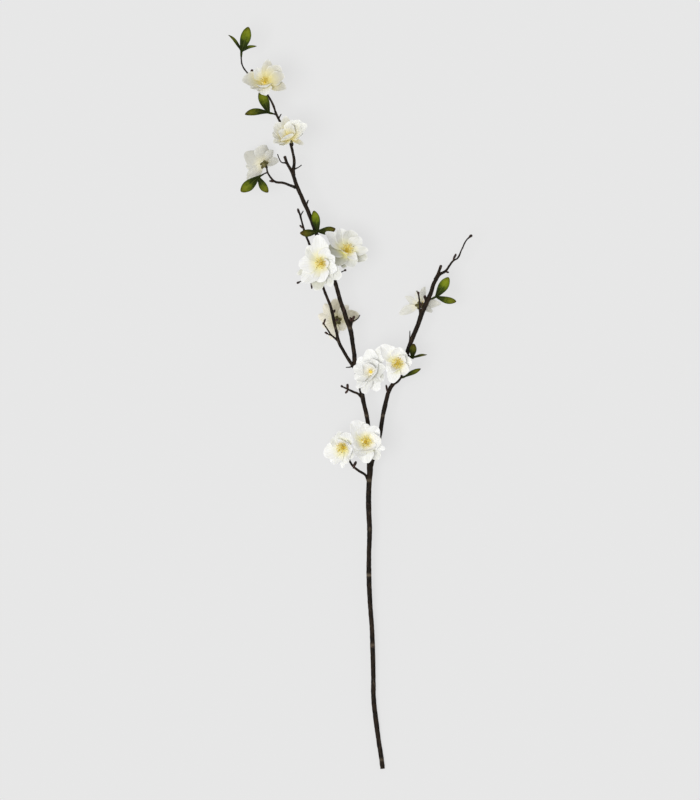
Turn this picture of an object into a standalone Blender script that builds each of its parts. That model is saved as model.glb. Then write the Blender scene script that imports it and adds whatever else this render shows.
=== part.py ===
"""A cut branch of almond blossom, lying on a surface.

The branch runs along +Y from its cut end to its tip. +Z is up, and the surface is z = 0. The tables
are in millimetres, and the model is in metres. A route is a list of (x, y, z, thickness).
"""

import math
import random

import bpy
import bmesh
from mathutils import Matrix, Quaternion, Vector

MM = 0.001
UP = Vector((0, 0, 1))
GAP = 0.3
SHARP = math.radians(50)

# The stem's first stretch lies on the surface on its lowest facet.
STEM_SIDES, LIMB_SIDES, SPUR_SIDES, TWIG_SIDES = 8, 6, 5, 4
STEM_END = 6.2
STEM_REST = STEM_END / 2 * math.cos(math.pi / STEM_SIDES)

MAIN_STEM = [
    (39.4, -446, STEM_REST, STEM_END), (37.6, -431, STEM_REST, STEM_END),
    (35.3, -417, STEM_REST, STEM_END), (31.4, -388, 4.4, 6.3), (28.4, -359, 6.0, 6.0),
    (28.1, -331, 7.5, 5.7), (27.3, -300, 9.2, 6.2), (26.2, -273, 10.7, 5.7), (24.1, -244, 12.3, 5.8),
    (22.8, -212, 14.0, 6.3), (22.8, -190, 15.2, 5.6), (23.5, -157, 17.0, 6.4), (22.4, -128, 18.6, 6.8),
    (22.8, -105, 19.8, 6.3), (24.0, -84, 21.0, 7.6), (23.5, -74, 21.5, 7.6), (22.0, -60, 22.3, 5.6),
    (22.0, -33, 23.8, 5.0), (20.0, -20, 24.6, 5.3), (17.0, -7, 25.4, 5.3), (15.0, 3, 26.0, 5.8),
    (11.0, 22, 27.1, 5.3), (6.0, 42, 28.2, 5.9), (5.0, 55, 29.0, 5.3), (3.5, 65, 29.7, 5.3),
    (0.0, 85, 31.0, 5.9), (-4.0, 95, 31.4, 5.8), (-7.0, 105, 31.8, 5.5), (-11.0, 116, 32.0, 5.2),
    (-17.0, 137, 32.6, 5.2), (-27.0, 165, 33.3, 5.0), (-41.0, 200, 34.2, 4.8), (-49.0, 222, 34.9, 5.2),
    (-57.0, 240, 35.4, 5.0), (-66.0, 262, 36.0, 4.6), (-68.0, 272, 36.4, 4.5), (-67.0, 285, 37.0, 3.6),
    (-69.0, 297, 37.5, 3.5), (-72.0, 308, 38.0, 3.2), (-78.0, 322, 38.5, 3.0), (-88.0, 341, 39.4, 3.0),
    (-92.0, 352, 39.8, 2.7), (-99.0, 365, 40.4, 2.4), (-107.0, 375, 40.9, 2.2), (-116.0, 384, 41.3, 2.0),
    (-123.0, 391, 41.6, 1.9), (-129.0, 400, 41.9, 1.9),
]
RIGHT_BRANCH = [
    (24.0, -84, 20.8, 6.0), (28.0, -70, 21.8, 5.8), (33.0, -55, 22.8, 5.5), (36.0, -43, 23.5, 5.4),
    (38.0, -30, 24.3, 5.3), (40.0, -18, 25.0, 5.1), (41.5, -11, 25.4, 5.9), (44.0, 0, 26.0, 5.2),
    (47.0, 10, 26.6, 5.1), (51.0, 17, 27.1, 5.1), (58.0, 23, 27.6, 5.0), (63.0, 36, 28.2, 5.7),
    (69.0, 56, 29.0, 5.7), (75.0, 73, 29.7, 5.6), (82.0, 90, 30.3, 5.6), (87.0, 105, 31.0, 6.1),
    (93.0, 118, 31.5, 5.9), (97.0, 127, 31.8, 5.3), (100.0, 137, 32.2, 4.7), (103.0, 143, 32.4, 4.7),
    (107.0, 149, 32.7, 4.1), (115.0, 154, 33.0, 3.1), (120.0, 161, 33.3, 2.7), (124.0, 166, 33.6, 2.6),
    (129.0, 169, 33.9, 2.3), (134.0, 179, 34.5, 1.9), (140.0, 191, 35.3, 1.8), (145.0, 195.5, 36.0, 2.3),
]
SIDE_BRANCH = [
    (7.0, 36, 27.9, 4.5), (2.0, 42, 28.6, 4.3), (-8.0, 58, 29.5, 4.1), (-14.0, 70, 30.1, 4.3),
    (-16.0, 80, 30.5, 3.9), (-19.0, 92, 31.0, 3.9), (-21.5, 104, 31.3, 4.1), (-24.0, 113, 31.4, 3.5),
    (-30.0, 128, 31.6, 3.5), (-40.0, 158, 32.2, 3.1), (-49.5, 188, 33.0, 2.8), (-52.0, 194, 33.2, 3.1),
    (-55.5, 204, 33.6, 2.9), (-57.0, 210, 33.8, 2.7), (-60.0, 221, 34.2, 2.7), (-62.0, 227, 34.4, 2.7),
]
TWIGS = [
    # From the side branch, low to high.
    [(-14, 69.5, 30.0, 2.5), (-23, 77.5, 29.6, 2.0), (-28, 85, 29.4, 1.8), (-31, 89.5, 29.2, 1.6)],
    [(-22, 76.6, 29.7, 1.9), (-26, 77.6, 29.8, 1.6)],
    [(3, 39, 28.4, 1.6), (-1, 38.2, 28.5, 1.4), (-5, 38, 28.6, 1.2)],
    [(-38, 152, 32.2, 1.6), (-50, 145, 38, 1.4), (-60, 140.8, 43, 1.2)],
    [(-48.5, 145.9, 37.2, 1.4), (-46.8, 141.5, 37.2, 1.2)],
    [(-59.5, 220, 34.1, 1.6), (-57.5, 223.5, 34.3, 1.4), (-56, 226, 34.4, 1.2)],
    # From the main stem, low to high.
    [
        (16.5, -1, 25.6, 3.2), (10, 6, 26.6, 2.9), (3, 9, 27.2, 2.8), (-3, 12, 27.8, 2.4),
        (-8.5, 14.5, 28.2, 1.9),
    ],
    [(0, 84.5, 31.6, 3.8), (1.6, 91, 32.6, 3.5), (2.2, 93.6, 33.0, 3.0)],
    [(1.8, 92.6, 32.8, 1.9), (6, 94.4, 33.4, 1.5), (9.5, 97, 33.7, 1.4), (12, 101, 34.0, 1.2)],
    [(-21.5, 150, 33, 1.6), (-13, 151.5, 33.5, 1.4), (-7, 154, 34.5, 1.2)],
    [(-52.5, 233, 35.3, 2.0), (-50, 239, 36.0, 1.4)],
    [(-67.5, 268, 36.4, 3.8), (-71, 275, 36.8, 3.8), (-76, 284, 37.4, 3.5), (-78, 290, 37.6, 3.6)],
    [(-75, 282.8, 37.3, 2.0), (-82, 284, 37.9, 1.5), (-85, 288.5, 38.2, 1.4), (-87, 294, 38.3, 1.2)],
    [(-67.6, 275.5, 36.6, 1.8), (-62, 278, 36.9, 1.4), (-58, 281, 37.0, 1.2)],
    [(-85.4, 337, 39.3, 1.6), (-82.5, 342, 39.6, 1.2)],
    [(-116.4, 384.6, 41.5, 1.6), (-117.2, 391.6, 43.0, 1.2)],
    # From the right branch, low to high.
    [(84.5, 101.5, 31.0, 2.8), (84, 108, 31.8, 2.2), (83.4, 118, 32.2, 2.0), (82.3, 126, 32.4, 2.0)],
    [(82.6, 124.5, 32.4, 1.6), (80, 130, 32.8, 1.2)],
    [(91, 113.5, 31.9, 4.1), (91.6, 118, 32.4, 3.8), (89.9, 122.6, 32.8, 3.8)],
    [(102.5, 143, 32.5, 3.8), (105.5, 150, 33.2, 3.5), (109, 159, 33.7, 3.5)],
    [(70, 61, 30.0, 1.8), (71.6, 71, 30.9, 1.5), (72, 82, 31.4, 1.2)],
]
# A bud is (foot), (tip), thickness.
BUDS = [
    ((-20.6, 101.5, 32.0), (-18.2, 107.4, 33.2), 3.4),
    ((-19.0, 93.6, 31.6), (-13.8, 96.0, 32.4), 2.9),
    ((-30.4, 88.6, 29.3), (-32.6, 92.2, 29.3), 3.2),
    ((-31.4, 90.0, 29.2), (-29.8, 96.6, 29.8), 2.6),
    ((-25.2, 77.5, 29.8), (-30.6, 80.4, 30.1), 2.9),
    ((-59.5, 141.0, 42.8), (-64.0, 138.6, 44.5), 3.0),
    ((-46.9, 141.9, 37.2), (-45.6, 132.0, 36.8), 2.6),
    ((-55.9, 204.5, 33.9), (-60.6, 208.8, 34.6), 2.6),
    ((-61.0, 222.0, 34.4), (-62.9, 229.0, 34.6), 3.0),
    ((-7.6, 14.0, 28.2), (-11.2, 16.2, 28.5), 3.2),
    ((-2.2, 11.6, 27.9), (-3.4, 18.4, 28.6), 3.6),
    ((-2.0, 11.8, 27.6), (-5.6, 6.6, 27.6), 3.1),
    ((1.4, 91.6, 32.9), (0.2, 98.4, 34.0), 3.4),
    ((2.0, 92.4, 33.0), (5.2, 100.0, 34.2), 3.6),
    ((-7.5, 153.8, 34.4), (-4.4, 155.2, 35.4), 3.0),
    ((-77.6, 288.4, 37.6), (-78.6, 291.8, 37.8), 4.1),
    ((-6.4, 102.8, 33.4), (-7.8, 109.6, 34.6), 2.8),
    ((82.5, 124.6, 32.4), (82.0, 129.0, 32.7), 3.1),
    ((83.6, 111.0, 32.0), (86.6, 115.0, 32.8), 2.5),
    ((91.0, 120.4, 32.7), (89.2, 124.4, 33.0), 4.1),
    ((108.2, 157.2, 33.6), (109.6, 161.0, 33.8), 3.8),
    ((113.6, 152.9, 33.4), (119.0, 152.0, 34.2), 2.6),
    ((123.4, 165.6, 33.9), (127.4, 174.6, 34.8), 3.2),
    ((142.6, 193.4, 35.6), (146.6, 197.2, 36.3), 3.8),
    ((45.6, 6.0, 27.8), (43.2, 17.4, 29.4), 2.9),
    ((-89.0, 261.0, 33.1), (-97.2, 261.8, 33.4), 3.0),
    ((3.6, -84.0, 21.2), (7.4, -74.6, 23.0), 3.8),
    ((-117.2, 391.0, 42.9), (-117.8, 395.4, 43.6), 3.8),
    ((26.0, -296.0, 11.0), (29.8, -301.0, 11.4), 3.2),
    ((24.4, -128.0, 20.4), (19.6, -124.6, 21.4), 3.5),
]

# Each bloom: its hub, the way it faces, its calyx's turn in degrees, and its stamens' size. A height of
# None sets the bloom down until its lowest petal is that much over the surface: see HANGS_OVER.
BLOOMS = {
    "top": ((-102, 378, 50), (0, 0.5, 0.87), 8, 0.6),
    "upper": ((-72, 311.5, 50), (-0.35, 0.6, 0.72), 40, 0.3),
    "left_twig": ((-103.6, 282.5, None), (-0.4, 0.42, -0.81), 20, 0.9),
    "pair_left": ((-34, 162, 57), (-0.15, 0.05, 0.98), 64, 1.0),
    "pair_right": ((-5, 176, 40), (0.25, 0.42, 0.87), 30, 1.0),
    "behind_left": ((-15.5, 94.5, None), (0.04, 0.0, -1.0), 12, 0.9),
    "behind_right": ((84, 113, None), (0.06, 0.48, -0.87), 3, 0.9),
    "middle_left": ((26, 31.5, 39), (-0.33, 0.34, 0.88), 60, 0.3),
    "middle_right": ((57, 42, 53), (-0.04, 0.08, 0.99), 18, 1.0),
    "low_left": ((-6, -58, 29), (-0.42, -0.08, 0.9), 0, 1.0),
    "low_right": ((18, -52, 46), (0.15, 0.1, 0.98), 36, 1.0),
}
HANGS_OVER = {"left_twig": 0.0, "behind_left": 1.5, "behind_right": 0.0}

# Each bloom's petals, as (angle, length, width, rise at the root, rise at the tip), the angle and the
# rises in degrees. In the bloom's own axes, angle 0 is as near the branch's +X as it can be.
PETALS = {
    "top": [
        (180, 25, 25, 25, 8), (80, 26, 14, 35, 22), (35, 25, 22, 38, 25), (337, 26, 15, 16, 2),
        (268, 19, 20, 27, 15), (217, 18, 20, 25, 12), (130, 18, 18, 42, 35), (5, 25, 18, 36, 26),
        (258, 11, 20, 44, 46),
    ],
    "upper": [
        (205, 18, 22, 28, 12), (165, 19, 20, 36, 24), (130, 23, 20, 40, 30), (92, 25, 15, 40, 30),
        (60, 20, 18, 44, 36), (32, 23, 20, 38, 26), (5, 27, 19, 32, 20), (345, 20, 14, 28, 16),
        (318, 23, 7, 8, -2), (240, 14, 18, 22, 10), (275, 16, 17, 50, 88), (150, 14, 16, 56, 60),
        (45, 16, 16, 58, 62),
    ],
    "left_twig": [
        (275, 21, 22, 28, 15), (325, 19, 16, 30, 18), (10, 21, 14, 25, 10), (212, 24, 19, 30, 18),
        (125, 27, 17, 26, 14), (170, 19, 17, 32, 25), (255, 13, 14, 55, 50), (190, 13, 14, 55, 50),
        (315, 10, 13, 55, 50),
    ],
    "pair_left": [
        (92, 34, 22, 35, 20), (130, 24, 19, 25, 8), (183, 25, 23, 30, 15), (230, 31, 22, 26, 12),
        (204, 29, 12, 10, 0), (263, 31, 20, 14, 0), (272, 23, 23, 34, 22), (296, 28, 16, 15, 3),
        (324, 28, 20, 16, 4), (335, 21, 19, 34, 24), (17, 20, 18, 38, 28), (60, 22, 17, 46, 36),
        (5, 14, 12, 58, 62),
    ],
    "pair_right": [
        (150, 32, 22, 28, 15), (112, 26, 24, 30, 15), (76, 25, 23, 32, 17), (44, 22, 19, 32, 18),
        (2, 24, 13, 30, 20), (345, 24, 17, 10, -5), (287, 22, 20, 20, 5), (238, 24, 19, 18, 4),
        (193, 24, 23, 24, 12), (305, 18, 12, 45, 35), (225, 11, 12, 60, 66), (262, 20, 14, 6, -6),
    ],
    "behind_left": [
        (265, 25, 20, 28, 12), (230, 24, 15, 28, 12), (195, 22, 15, 25, 12), (165, 19, 15, 35, 25),
        (110, 22, 14, 30, 18), (55, 14, 15, 40, 30), (345, 26, 18, 25, 12), (280, 15, 14, 55, 50),
        (205, 12, 14, 55, 50), (65, 10, 12, 55, 50), (305, 20, 12, 22, 8),
    ],
    "behind_right": [
        (145, 29, 12, 22, 10), (200, 18, 8, 30, 20), (255, 15, 8, 35, 25), (285, 20, 8, 32, 20),
        (5, 23, 13, 25, 12), (40, 17, 8, 20, 8), (170, 14, 7, 45, 35), (275, 12, 8, 55, 50),
        (150, 11, 8, 55, 50), (30, 12, 8, 55, 50),
    ],
    "middle_left": [
        (130, 21, 18, 30, 20), (85, 26, 20, 30, 20), (58, 31, 19, 22, 10), (165, 20, 18, 30, 18),
        (205, 19, 18, 25, 12), (232, 24, 15, 22, 8), (257, 28, 16, 18, 5), (290, 25, 19, 15, 3),
        (325, 22, 18, 24, 14), (355, 22, 20, 38, 32), (310, 16, 31, 54, 62), (45, 18, 17, 50, 45),
        (135, 17, 19, 64, 92), (55, 16, 17, 66, 92),
    ],
    "middle_right": [
        (131, 28, 20, 28, 15), (176, 13, 18, 33, 25), (79, 20, 20, 40, 35), (11, 16, 19, 28, 18),
        (316, 16, 16, 32, 22), (253, 23, 17, 25, 12), (216, 14, 13, 28, 18), (42, 17, 12, 55, 60),
        (248, 16, 12, 58, 60),
    ],
    "low_left": [
        (200, 24, 21, 28, 15), (140, 18, 15, 40, 30), (92, 21, 18, 38, 28), (60, 25, 18, 38, 26),
        (235, 22, 19, 25, 12), (290, 18, 20, 28, 15), (5, 19, 19, 44, 46), (325, 18, 15, 35, 25),
        (265, 22, 10, 8, -5), (100, 16, 12, 60, 65), (25, 15, 12, 55, 60),
    ],
    "low_right": [
        (125, 29, 25, 28, 14), (97, 21, 20, 32, 20), (52, 22, 20, 32, 20), (5, 20, 20, 42, 40),
        (340, 23, 9, 20, 8), (310, 24, 16, 8, -5), (270, 24, 20, 25, 12), (235, 22, 17, 30, 20),
        (285, 17, 22, 50, 52), (200, 16, 16, 35, 28),
    ],
}

# The wood between the branch and each bloom's calyx, from its root on.
SPURS = {
    "top": [(-102.5, 369.5, 40.6, 1.8), (-101.4, 371.5, 41.6, 1.6)],
    "upper": [(-69, 297, 37.5, 2.3), (-70.2, 301.5, 39.8, 2.2)],
    "left_twig": [
        (-65, 254, 35.8, 3.4), (-72, 256.5, 34.6, 3.2), (-80, 259.5, 33.6, 3.0), (-90, 261, 33.0, 2.9),
        (-96, 267, 33.2, 2.4), (-98.8, 272, 34.0, 2.1), (-100, 277, 34.6, 2.0),
    ],
    "pair_left": [(-27.5, 164, 33.6, 2.4), (-31, 162, 40, 2.2)],
    "pair_right": [(-22.5, 154, 33.0, 2.2), (-15.5, 160.5, 29.5, 2.0), (-10.5, 166, 28.5, 1.9)],
    "behind_left": [(-19.8, 94.6, 30.7, 2.3), (-17.2, 94.6, 28.6, 2.1)],
    "behind_right": [(84.8, 98.5, 30.4, 2.3), (84.0, 103.0, 30.2, 2.1)],
    "middle_left": [(10.5, 24, 27.2, 2.4), (18, 27, 27.4, 2.2)],
    "middle_right": [(62.5, 37, 28.6, 2.3), (59, 41, 34, 2.2)],
    "low_left": [
        (22, -98, 20.2, 3.3), (19, -92, 20.6, 3.1), (10, -86, 20.8, 3.0), (3, -80, 20.2, 2.8),
        (-2, -70, 18.4, 2.3), (-2.6, -63, 17.4, 2.2),
    ],
    "low_right": [(22.2, -55, 22.6, 2.6), (18.4, -53.4, 31, 2.3)],
}

# Each leaf set: the foot and the head of its sheath, the wood that leads to it, and its leaves. A leaf
# is its tip, its width, its roll in degrees (0 faces up) and how far it arches.
LEAF_SETS = {
    "tip": (
        (-130.4, 411, 42.1), (-130.2, 418, 42.6), [],
        [((-122, 446, 44), 13, 8, 2.0), ((-146, 436, 46), 8.5, 62, 1.5), ((-112, 423, 39), 8, -60, 1.5)],
    ),
    "upper": (
        (-93, 342.4, 39.6), (-99, 343.8, 39.9), [(-88, 340.6, 39.4, 2.0)],
        [((-108.3, 369, 42.6), 12.5, 10, 2.0), ((-126, 341, 43), 11, 34, 3.0)],
    ),
    "left_twig": (
        (-106.4, 268.5, 34.4), (-111, 266, 35.0), [(-98.9, 272, 34.0, 1.7), (-102.6, 270.8, 34.3, 1.5)],
        [((-131, 249, 36), 13.5, -8, 2.0), ((-98.5, 248, 34), 10.5, 24, 2.0)],
    ),
    "middle": (
        (-39.6, 200.6, 36.2), (-38.0, 201.8, 38.8), [(-41, 199.8, 34.4, 2.2)],
        [
            ((-43.5, 226, 38), 10.5, 12, 1.5), ((-17.5, 204, 41), 10.5, 16, 3.0),
            ((-60, 199, 39), 9.5, -18, 2.0),
        ],
    ),
    "right": (
        (98.2, 120.4, 32.5), (104.8, 123.5, 33.3), [(93, 117.6, 31.7, 3.4), (95.2, 118.8, 32.1, 3.0)],
        [((118.5, 146, 36), 12.5, 4, 2.0), ((127.5, 117, 34), 10, 28, 1.0)],
    ),
    "fork_low": (
        (62.6, 25.7, 28.4), (66.4, 27.3, 28.9), [(58.6, 24, 27.8, 2.6)],
        [((85, 36.5, 31), 6.5, 30, -1.0)],
    ),
    "fork_high": (
        (72.4, 51.1, 29.3), (76.1, 48.8, 30.2), [(68.3, 54, 29.0, 2.4)],
        [((76.8, 66.5, 33), 9, -10, 1.0), ((92.5, 53.5, 32), 5.5, 56, -1.5)],
    ),
}

# Outlines: (share of the length, share of the greatest width).
PETAL_OUTLINE = [(0.0, 0.14), (0.38, 0.68), (0.76, 1.0), (1.0, 0.58)]
LEAF_OUTLINE = [(0.0, 0.30), (0.24, 0.62), (0.52, 0.96), (0.80, 0.90), (1.0, 0.20)]
SEPAL_OUTLINE = [(0.0, 0.50), (0.5, 1.0), (1.0, 0.12)]
BUD_OUTLINE = [(0.0, 0.45), (0.66, 1.0), (1.0, 0.5)]
SHEATH_OUTLINE = [(0.0, 2.4), (0.6, 2.9), (1.1, 1.6)]

# Petals. Each is rolled about its length, so that one edge lies under its neighbour and the other over.
RING = 5
BLADE = 0.9
HUB_FOOT, HUB_RADIUS, HUB_HEIGHT = 4.1, 4.6, 2.2
PETAL_ROOT = (2.9, 1.1)
PETAL_ROLL = 10
PETAL_CAMBER, LEAF_CAMBER = 0.12, 0.10
UNEVEN_DEGREES = 4

# The calyx: a cup on the spur's end, and its sepals, which droop from the cup's rim.
CUP_RADIUS, CUP_FOOT, CUP_LENGTH = 3.6, 1.4, 6.5
SEPAL_ROOT, SEPAL_LENGTH, SEPAL_WIDTH, SEPAL_DROOP = 2.5, 3.4, 3.5, 26
SPUR_THICK, SPUR_NECK = 2.4, 2.5
SEAT = GAP + CUP_LENGTH + GAP

# The stamens: a dome on the hub, and rings of filaments as (count, distance from the axis, lean).
DOME_RADIUS, DOME_HEIGHT = 2.3, 1.6
FILAMENTS = ((3, 0.7, 10), (6, 1.4, 32))
FILAMENT_LENGTH = 9.5
FILAMENT_OUTLINE = [(0.0, 0.9), (0.9, 1.4), (1.0, 0.8)]
FILAMENT_SPREAD, FILAMENT_LEAN = 8, 4

# The wood's last stretch before a sheath, and how far a leaf's root sinks into its sheath.
LEAD_THICK, LEAD_NECK = 1.9, 2.4
LEAF_SUNK = 1.5

COLOURS = {
    "wood": (0.030, 0.022, 0.017),
    "petal": (0.93, 0.92, 0.86),
    "stamen": (0.72, 0.50, 0.06),
    "calyx": (0.16, 0.14, 0.04),
    "leaf": (0.10, 0.17, 0.02),
}


def clear_scene():
    for thing in list(bpy.data.objects):
        bpy.data.objects.remove(thing)


def material(name):
    made = bpy.data.materials.new(name)
    made.use_nodes = True
    shader = made.node_tree.nodes["Principled BSDF"]
    shader.inputs["Base Color"].default_value = (*COLOURS[name], 1)
    shader.inputs["Roughness"].default_value = 0.7
    return made


def object_from(name, bm):
    """An object from a closed bmesh in millimetres."""
    bmesh.ops.recalc_face_normals(bm, faces=bm.faces)
    bmesh.ops.scale(bm, vec=(MM, MM, MM), verts=bm.verts)
    mesh = bpy.data.meshes.new(name)
    bm.to_mesh(mesh)
    bm.free()
    piece = bpy.data.objects.new(name, mesh)
    bpy.context.scene.collection.objects.link(piece)
    return piece


def fuse(name, pieces, finish):
    """One solid made of overlapping pieces, by one Boolean union on a collection."""
    base, *others = pieces
    group = bpy.data.collections.new(name + " pieces")
    bpy.context.scene.collection.children.link(group)
    for piece in others:
        group.objects.link(piece)
        bpy.context.scene.collection.objects.unlink(piece)
    union = base.modifiers.new("Union", "BOOLEAN")
    union.operation = "UNION"
    union.operand_type = "COLLECTION"
    union.collection = group
    with bpy.context.temp_override(object=base, active_object=base):
        bpy.ops.object.modifier_apply(modifier=union.name)
    for piece in others:
        bpy.data.objects.remove(piece)
    bpy.data.collections.remove(group)
    base.name = base.data.name = name
    base.data.materials.clear()
    base.data.materials.append(finish)
    base.data.shade_smooth()
    base.data.set_sharp_from_angle(angle=SHARP)
    return base


def tube(points, sides):
    """A closed tube along a route, with its first ring turned so that a facet faces down."""
    bm = bmesh.new()
    centres = [Vector(point[:3]) for point in points]
    heading = (centres[1] - centres[0]).normalized()
    turn = heading.to_track_quat("Z", "Y") @ Quaternion(UP, math.pi / sides)
    loops = []
    for i, centre in enumerate(centres):
        before = centres[max(i - 1, 0)]
        after = centres[min(i + 1, len(centres) - 1)]
        new_heading = (after - before).normalized()
        turn = heading.rotation_difference(new_heading) @ turn
        heading = new_heading
        ring = bmesh.ops.create_circle(
            bm,
            segments=sides,
            radius=points[i][3] / 2,
            matrix=Matrix.Translation(centre) @ turn.to_matrix().to_4x4(),
        )["verts"]
        loops.append(ring)
    for lower, upper in zip(loops, loops[1:]):
        for k in range(sides):
            bm.faces.new((lower[k - 1], lower[k], upper[k], upper[k - 1]))
    bm.faces.new(loops[0])
    bm.faces.new(loops[-1])
    return object_from("tube", bm)


def bud(foot, tip, thick):
    """A closed bud: a knob on a narrow foot, widest near its tip."""
    foot, tip = Vector(foot), Vector(tip)
    return tube([(*foot.lerp(tip, along), thick * share) for along, share in BUD_OUTLINE], TWIG_SIDES)


def along_path(start, length, angles, steps):
    """Points (out, up) of a path that sets off at the first angle and ends at the second."""
    out, up = start
    path = [start]
    for i in range(1, len(steps)):
        stride = (steps[i] - steps[i - 1]) * length
        middle = (steps[i] + steps[i - 1]) / 2
        angle = math.radians(angles[0] + (angles[1] - angles[0]) * middle)
        out, up = out + stride * math.cos(angle), up + stride * math.sin(angle)
        path.append((out, up))
    return path


def blade(path, widths, camber, roll, thick_way, columns=(-1, 0, 1)):
    """A closed blade over a path in the XZ plane, as wide as the widths, rolled about its length."""
    bm = bmesh.new()
    rows = []
    lean = math.radians(roll)
    for (out, up), width in zip(path, widths):
        row = []
        for across in columns:
            side = across * width / 2
            rise = camber * width * across * across
            row.append(bm.verts.new((
                out,
                side * math.cos(lean) - rise * math.sin(lean),
                up + side * math.sin(lean) + rise * math.cos(lean),
            )))
        rows.append(row)
    for low, high in zip(rows, rows[1:]):
        for k in range(1, len(columns)):
            bm.faces.new((low[k - 1], low[k], high[k], high[k - 1]))
    bmesh.ops.triangulate(bm, faces=bm.faces)
    top = list(bm.faces)
    grown = bmesh.ops.extrude_face_region(bm, geom=top, use_keep_orig=True)["geom"]
    below = [part for part in grown if isinstance(part, bmesh.types.BMVert)]
    bmesh.ops.translate(bm, vec=thick_way, verts=below)
    return bm


def petal(angle, length, width, rise_at_root, rise_at_tip):
    """One petal, in the bloom's own axes."""
    steps = [step for step, _ in PETAL_OUTLINE]
    widths = [width * share for _, share in PETAL_OUTLINE]
    path = along_path(PETAL_ROOT, length, (rise_at_root, rise_at_tip), steps)
    slope = math.radians((rise_at_root + rise_at_tip) / 2)
    down = Vector((math.sin(slope), 0, -math.cos(slope))) * BLADE
    bm = blade(path, widths, PETAL_CAMBER, PETAL_ROLL, down)
    bmesh.ops.rotate(bm, matrix=Matrix.Rotation(math.radians(angle), 3, "Z"), verts=bm.verts)
    return bm


def ring_of(make, count, turn, chance):
    """The pieces that make() gives, spread evenly round the axis and each a little off."""
    made = []
    for i in range(count):
        bm = make()
        angle = turn + 360 * i / count + chance.uniform(-UNEVEN_DEGREES, UNEVEN_DEGREES)
        bmesh.ops.rotate(bm, matrix=Matrix.Rotation(math.radians(angle), 3, "Z"), verts=bm.verts)
        made.append(bm)
    return made


def facing(name):
    """The turn from a bloom's own axes, with its +Z the way it faces, to the branch's."""
    way = Vector(BLOOMS[name][1]).normalized()
    side = (Vector((1, 0, 0)) - way * way.x).normalized()
    return Matrix((side, way.cross(side), way)).transposed().to_quaternion()


def hub_of(name):
    """The middle of a bloom's hub, in millimetres. A bloom with no height is set down on its petals."""
    x, y, z = BLOOMS[name][0]
    if z is None:
        turn = facing(name)
        lowest = 0
        for row in PETALS[name]:
            bm = petal(*row)
            lowest = min(lowest, min((turn @ vert.co).z for vert in bm.verts))
            bm.free()
        z = HANGS_OVER[name] - lowest
    return Vector((x, y, z))


def placed(bm, name, hub):
    """A piece of a bloom, moved from the bloom's own axes to its place on the branch."""
    matrix = Matrix.Translation(hub) @ facing(name).to_matrix().to_4x4()
    bmesh.ops.transform(bm, matrix=matrix, verts=bm.verts)
    return object_from("piece", bm)


def cone(low, high, bottom, top, flat_at):
    """A five-sided frustum on the Z axis, by its two heights and radii, with a flat at the given angle."""
    first_corner = 90
    turn = math.radians(flat_at + 180 / RING - first_corner)
    bm = bmesh.new()
    bmesh.ops.create_cone(
        bm,
        cap_ends=True,
        segments=RING,
        radius1=bottom,
        radius2=top,
        depth=high - low,
        matrix=Matrix.Translation((0, 0, (low + high) / 2)) @ Matrix.Rotation(turn, 4, "Z"),
    )
    return bm


def make_petals(name, hub, finish):
    solids = [cone(0, HUB_HEIGHT, HUB_FOOT, HUB_RADIUS, BLOOMS[name][2])]
    solids += [petal(*row) for row in PETALS[name]]
    fuse("petals_" + name, [placed(bm, name, hub) for bm in solids], finish)


def make_calyx(name, hub, finish):
    top = -GAP

    def sepal():
        steps = [step for step, _ in SEPAL_OUTLINE]
        widths = [SEPAL_WIDTH * share for _, share in SEPAL_OUTLINE]
        path = along_path((SEPAL_ROOT, top - BLADE), SEPAL_LENGTH, (0, -SEPAL_DROOP), steps)
        return blade(path, widths, 0, 0, -UP * BLADE, (-1, 1))

    turn = BLOOMS[name][2] + 180 / RING
    solids = [cone(top - CUP_LENGTH, top, CUP_FOOT, CUP_RADIUS, turn)]
    solids += ring_of(sepal, RING, turn, random.Random(name + " calyx"))
    fuse("calyx_" + name, [placed(bm, name, hub) for bm in solids], finish)


def filament(base, lean, around, length):
    """A three-sided stalk from inside the dome, ending in its anther."""
    foot = HUB_HEIGHT + GAP + DOME_HEIGHT / 2
    lean, around = math.radians(lean), math.radians(around)
    points = []
    for along, thick in FILAMENT_OUTLINE:
        out = base + length * along * math.sin(lean)
        rise = foot + length * along * math.cos(lean)
        points.append((out * math.cos(around), out * math.sin(around), rise, thick))
    return tube(points, 3)


def make_stamens(name, hub, finish):
    chance = random.Random(name + " stamens")
    foot = HUB_HEIGHT + GAP
    pieces = [placed(cone(foot, foot + DOME_HEIGHT, DOME_RADIUS, DOME_RADIUS * 0.8, 0), name, hub)]
    placing = Matrix.Translation(hub * MM) @ facing(name).to_matrix().to_4x4()
    for count, base, lean in FILAMENTS:
        for i in range(count):
            around = 360 * i / count + chance.uniform(-FILAMENT_SPREAD, FILAMENT_SPREAD)
            length = FILAMENT_LENGTH * BLOOMS[name][3] * chance.uniform(0.85, 1.05)
            stalk = filament(base, lean + chance.uniform(-FILAMENT_LEAN, FILAMENT_LEAN), around, length)
            stalk.data.transform(placing)
            pieces.append(stalk)
    fuse("stamens_" + name, pieces, finish)


def spur_of(name, hub):
    """The route of the wood to a bloom, ending square on the foot of its calyx."""
    way = Vector(BLOOMS[name][1]).normalized()
    end = hub - way * SEAT
    return SPURS[name] + [(*(end - way * SPUR_NECK), SPUR_THICK * 0.9), (*end, SPUR_THICK)]


def lead_of(name):
    """The route of the wood to a leaf set, ending square on the foot of its sheath."""
    foot, head, lead, _ = LEAF_SETS[name]
    foot = Vector(foot)
    way = (Vector(head) - foot).normalized()
    return lead + [(*(foot - way * LEAD_NECK), LEAD_THICK), (*(foot - way * GAP), LEAD_THICK)]


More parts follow.
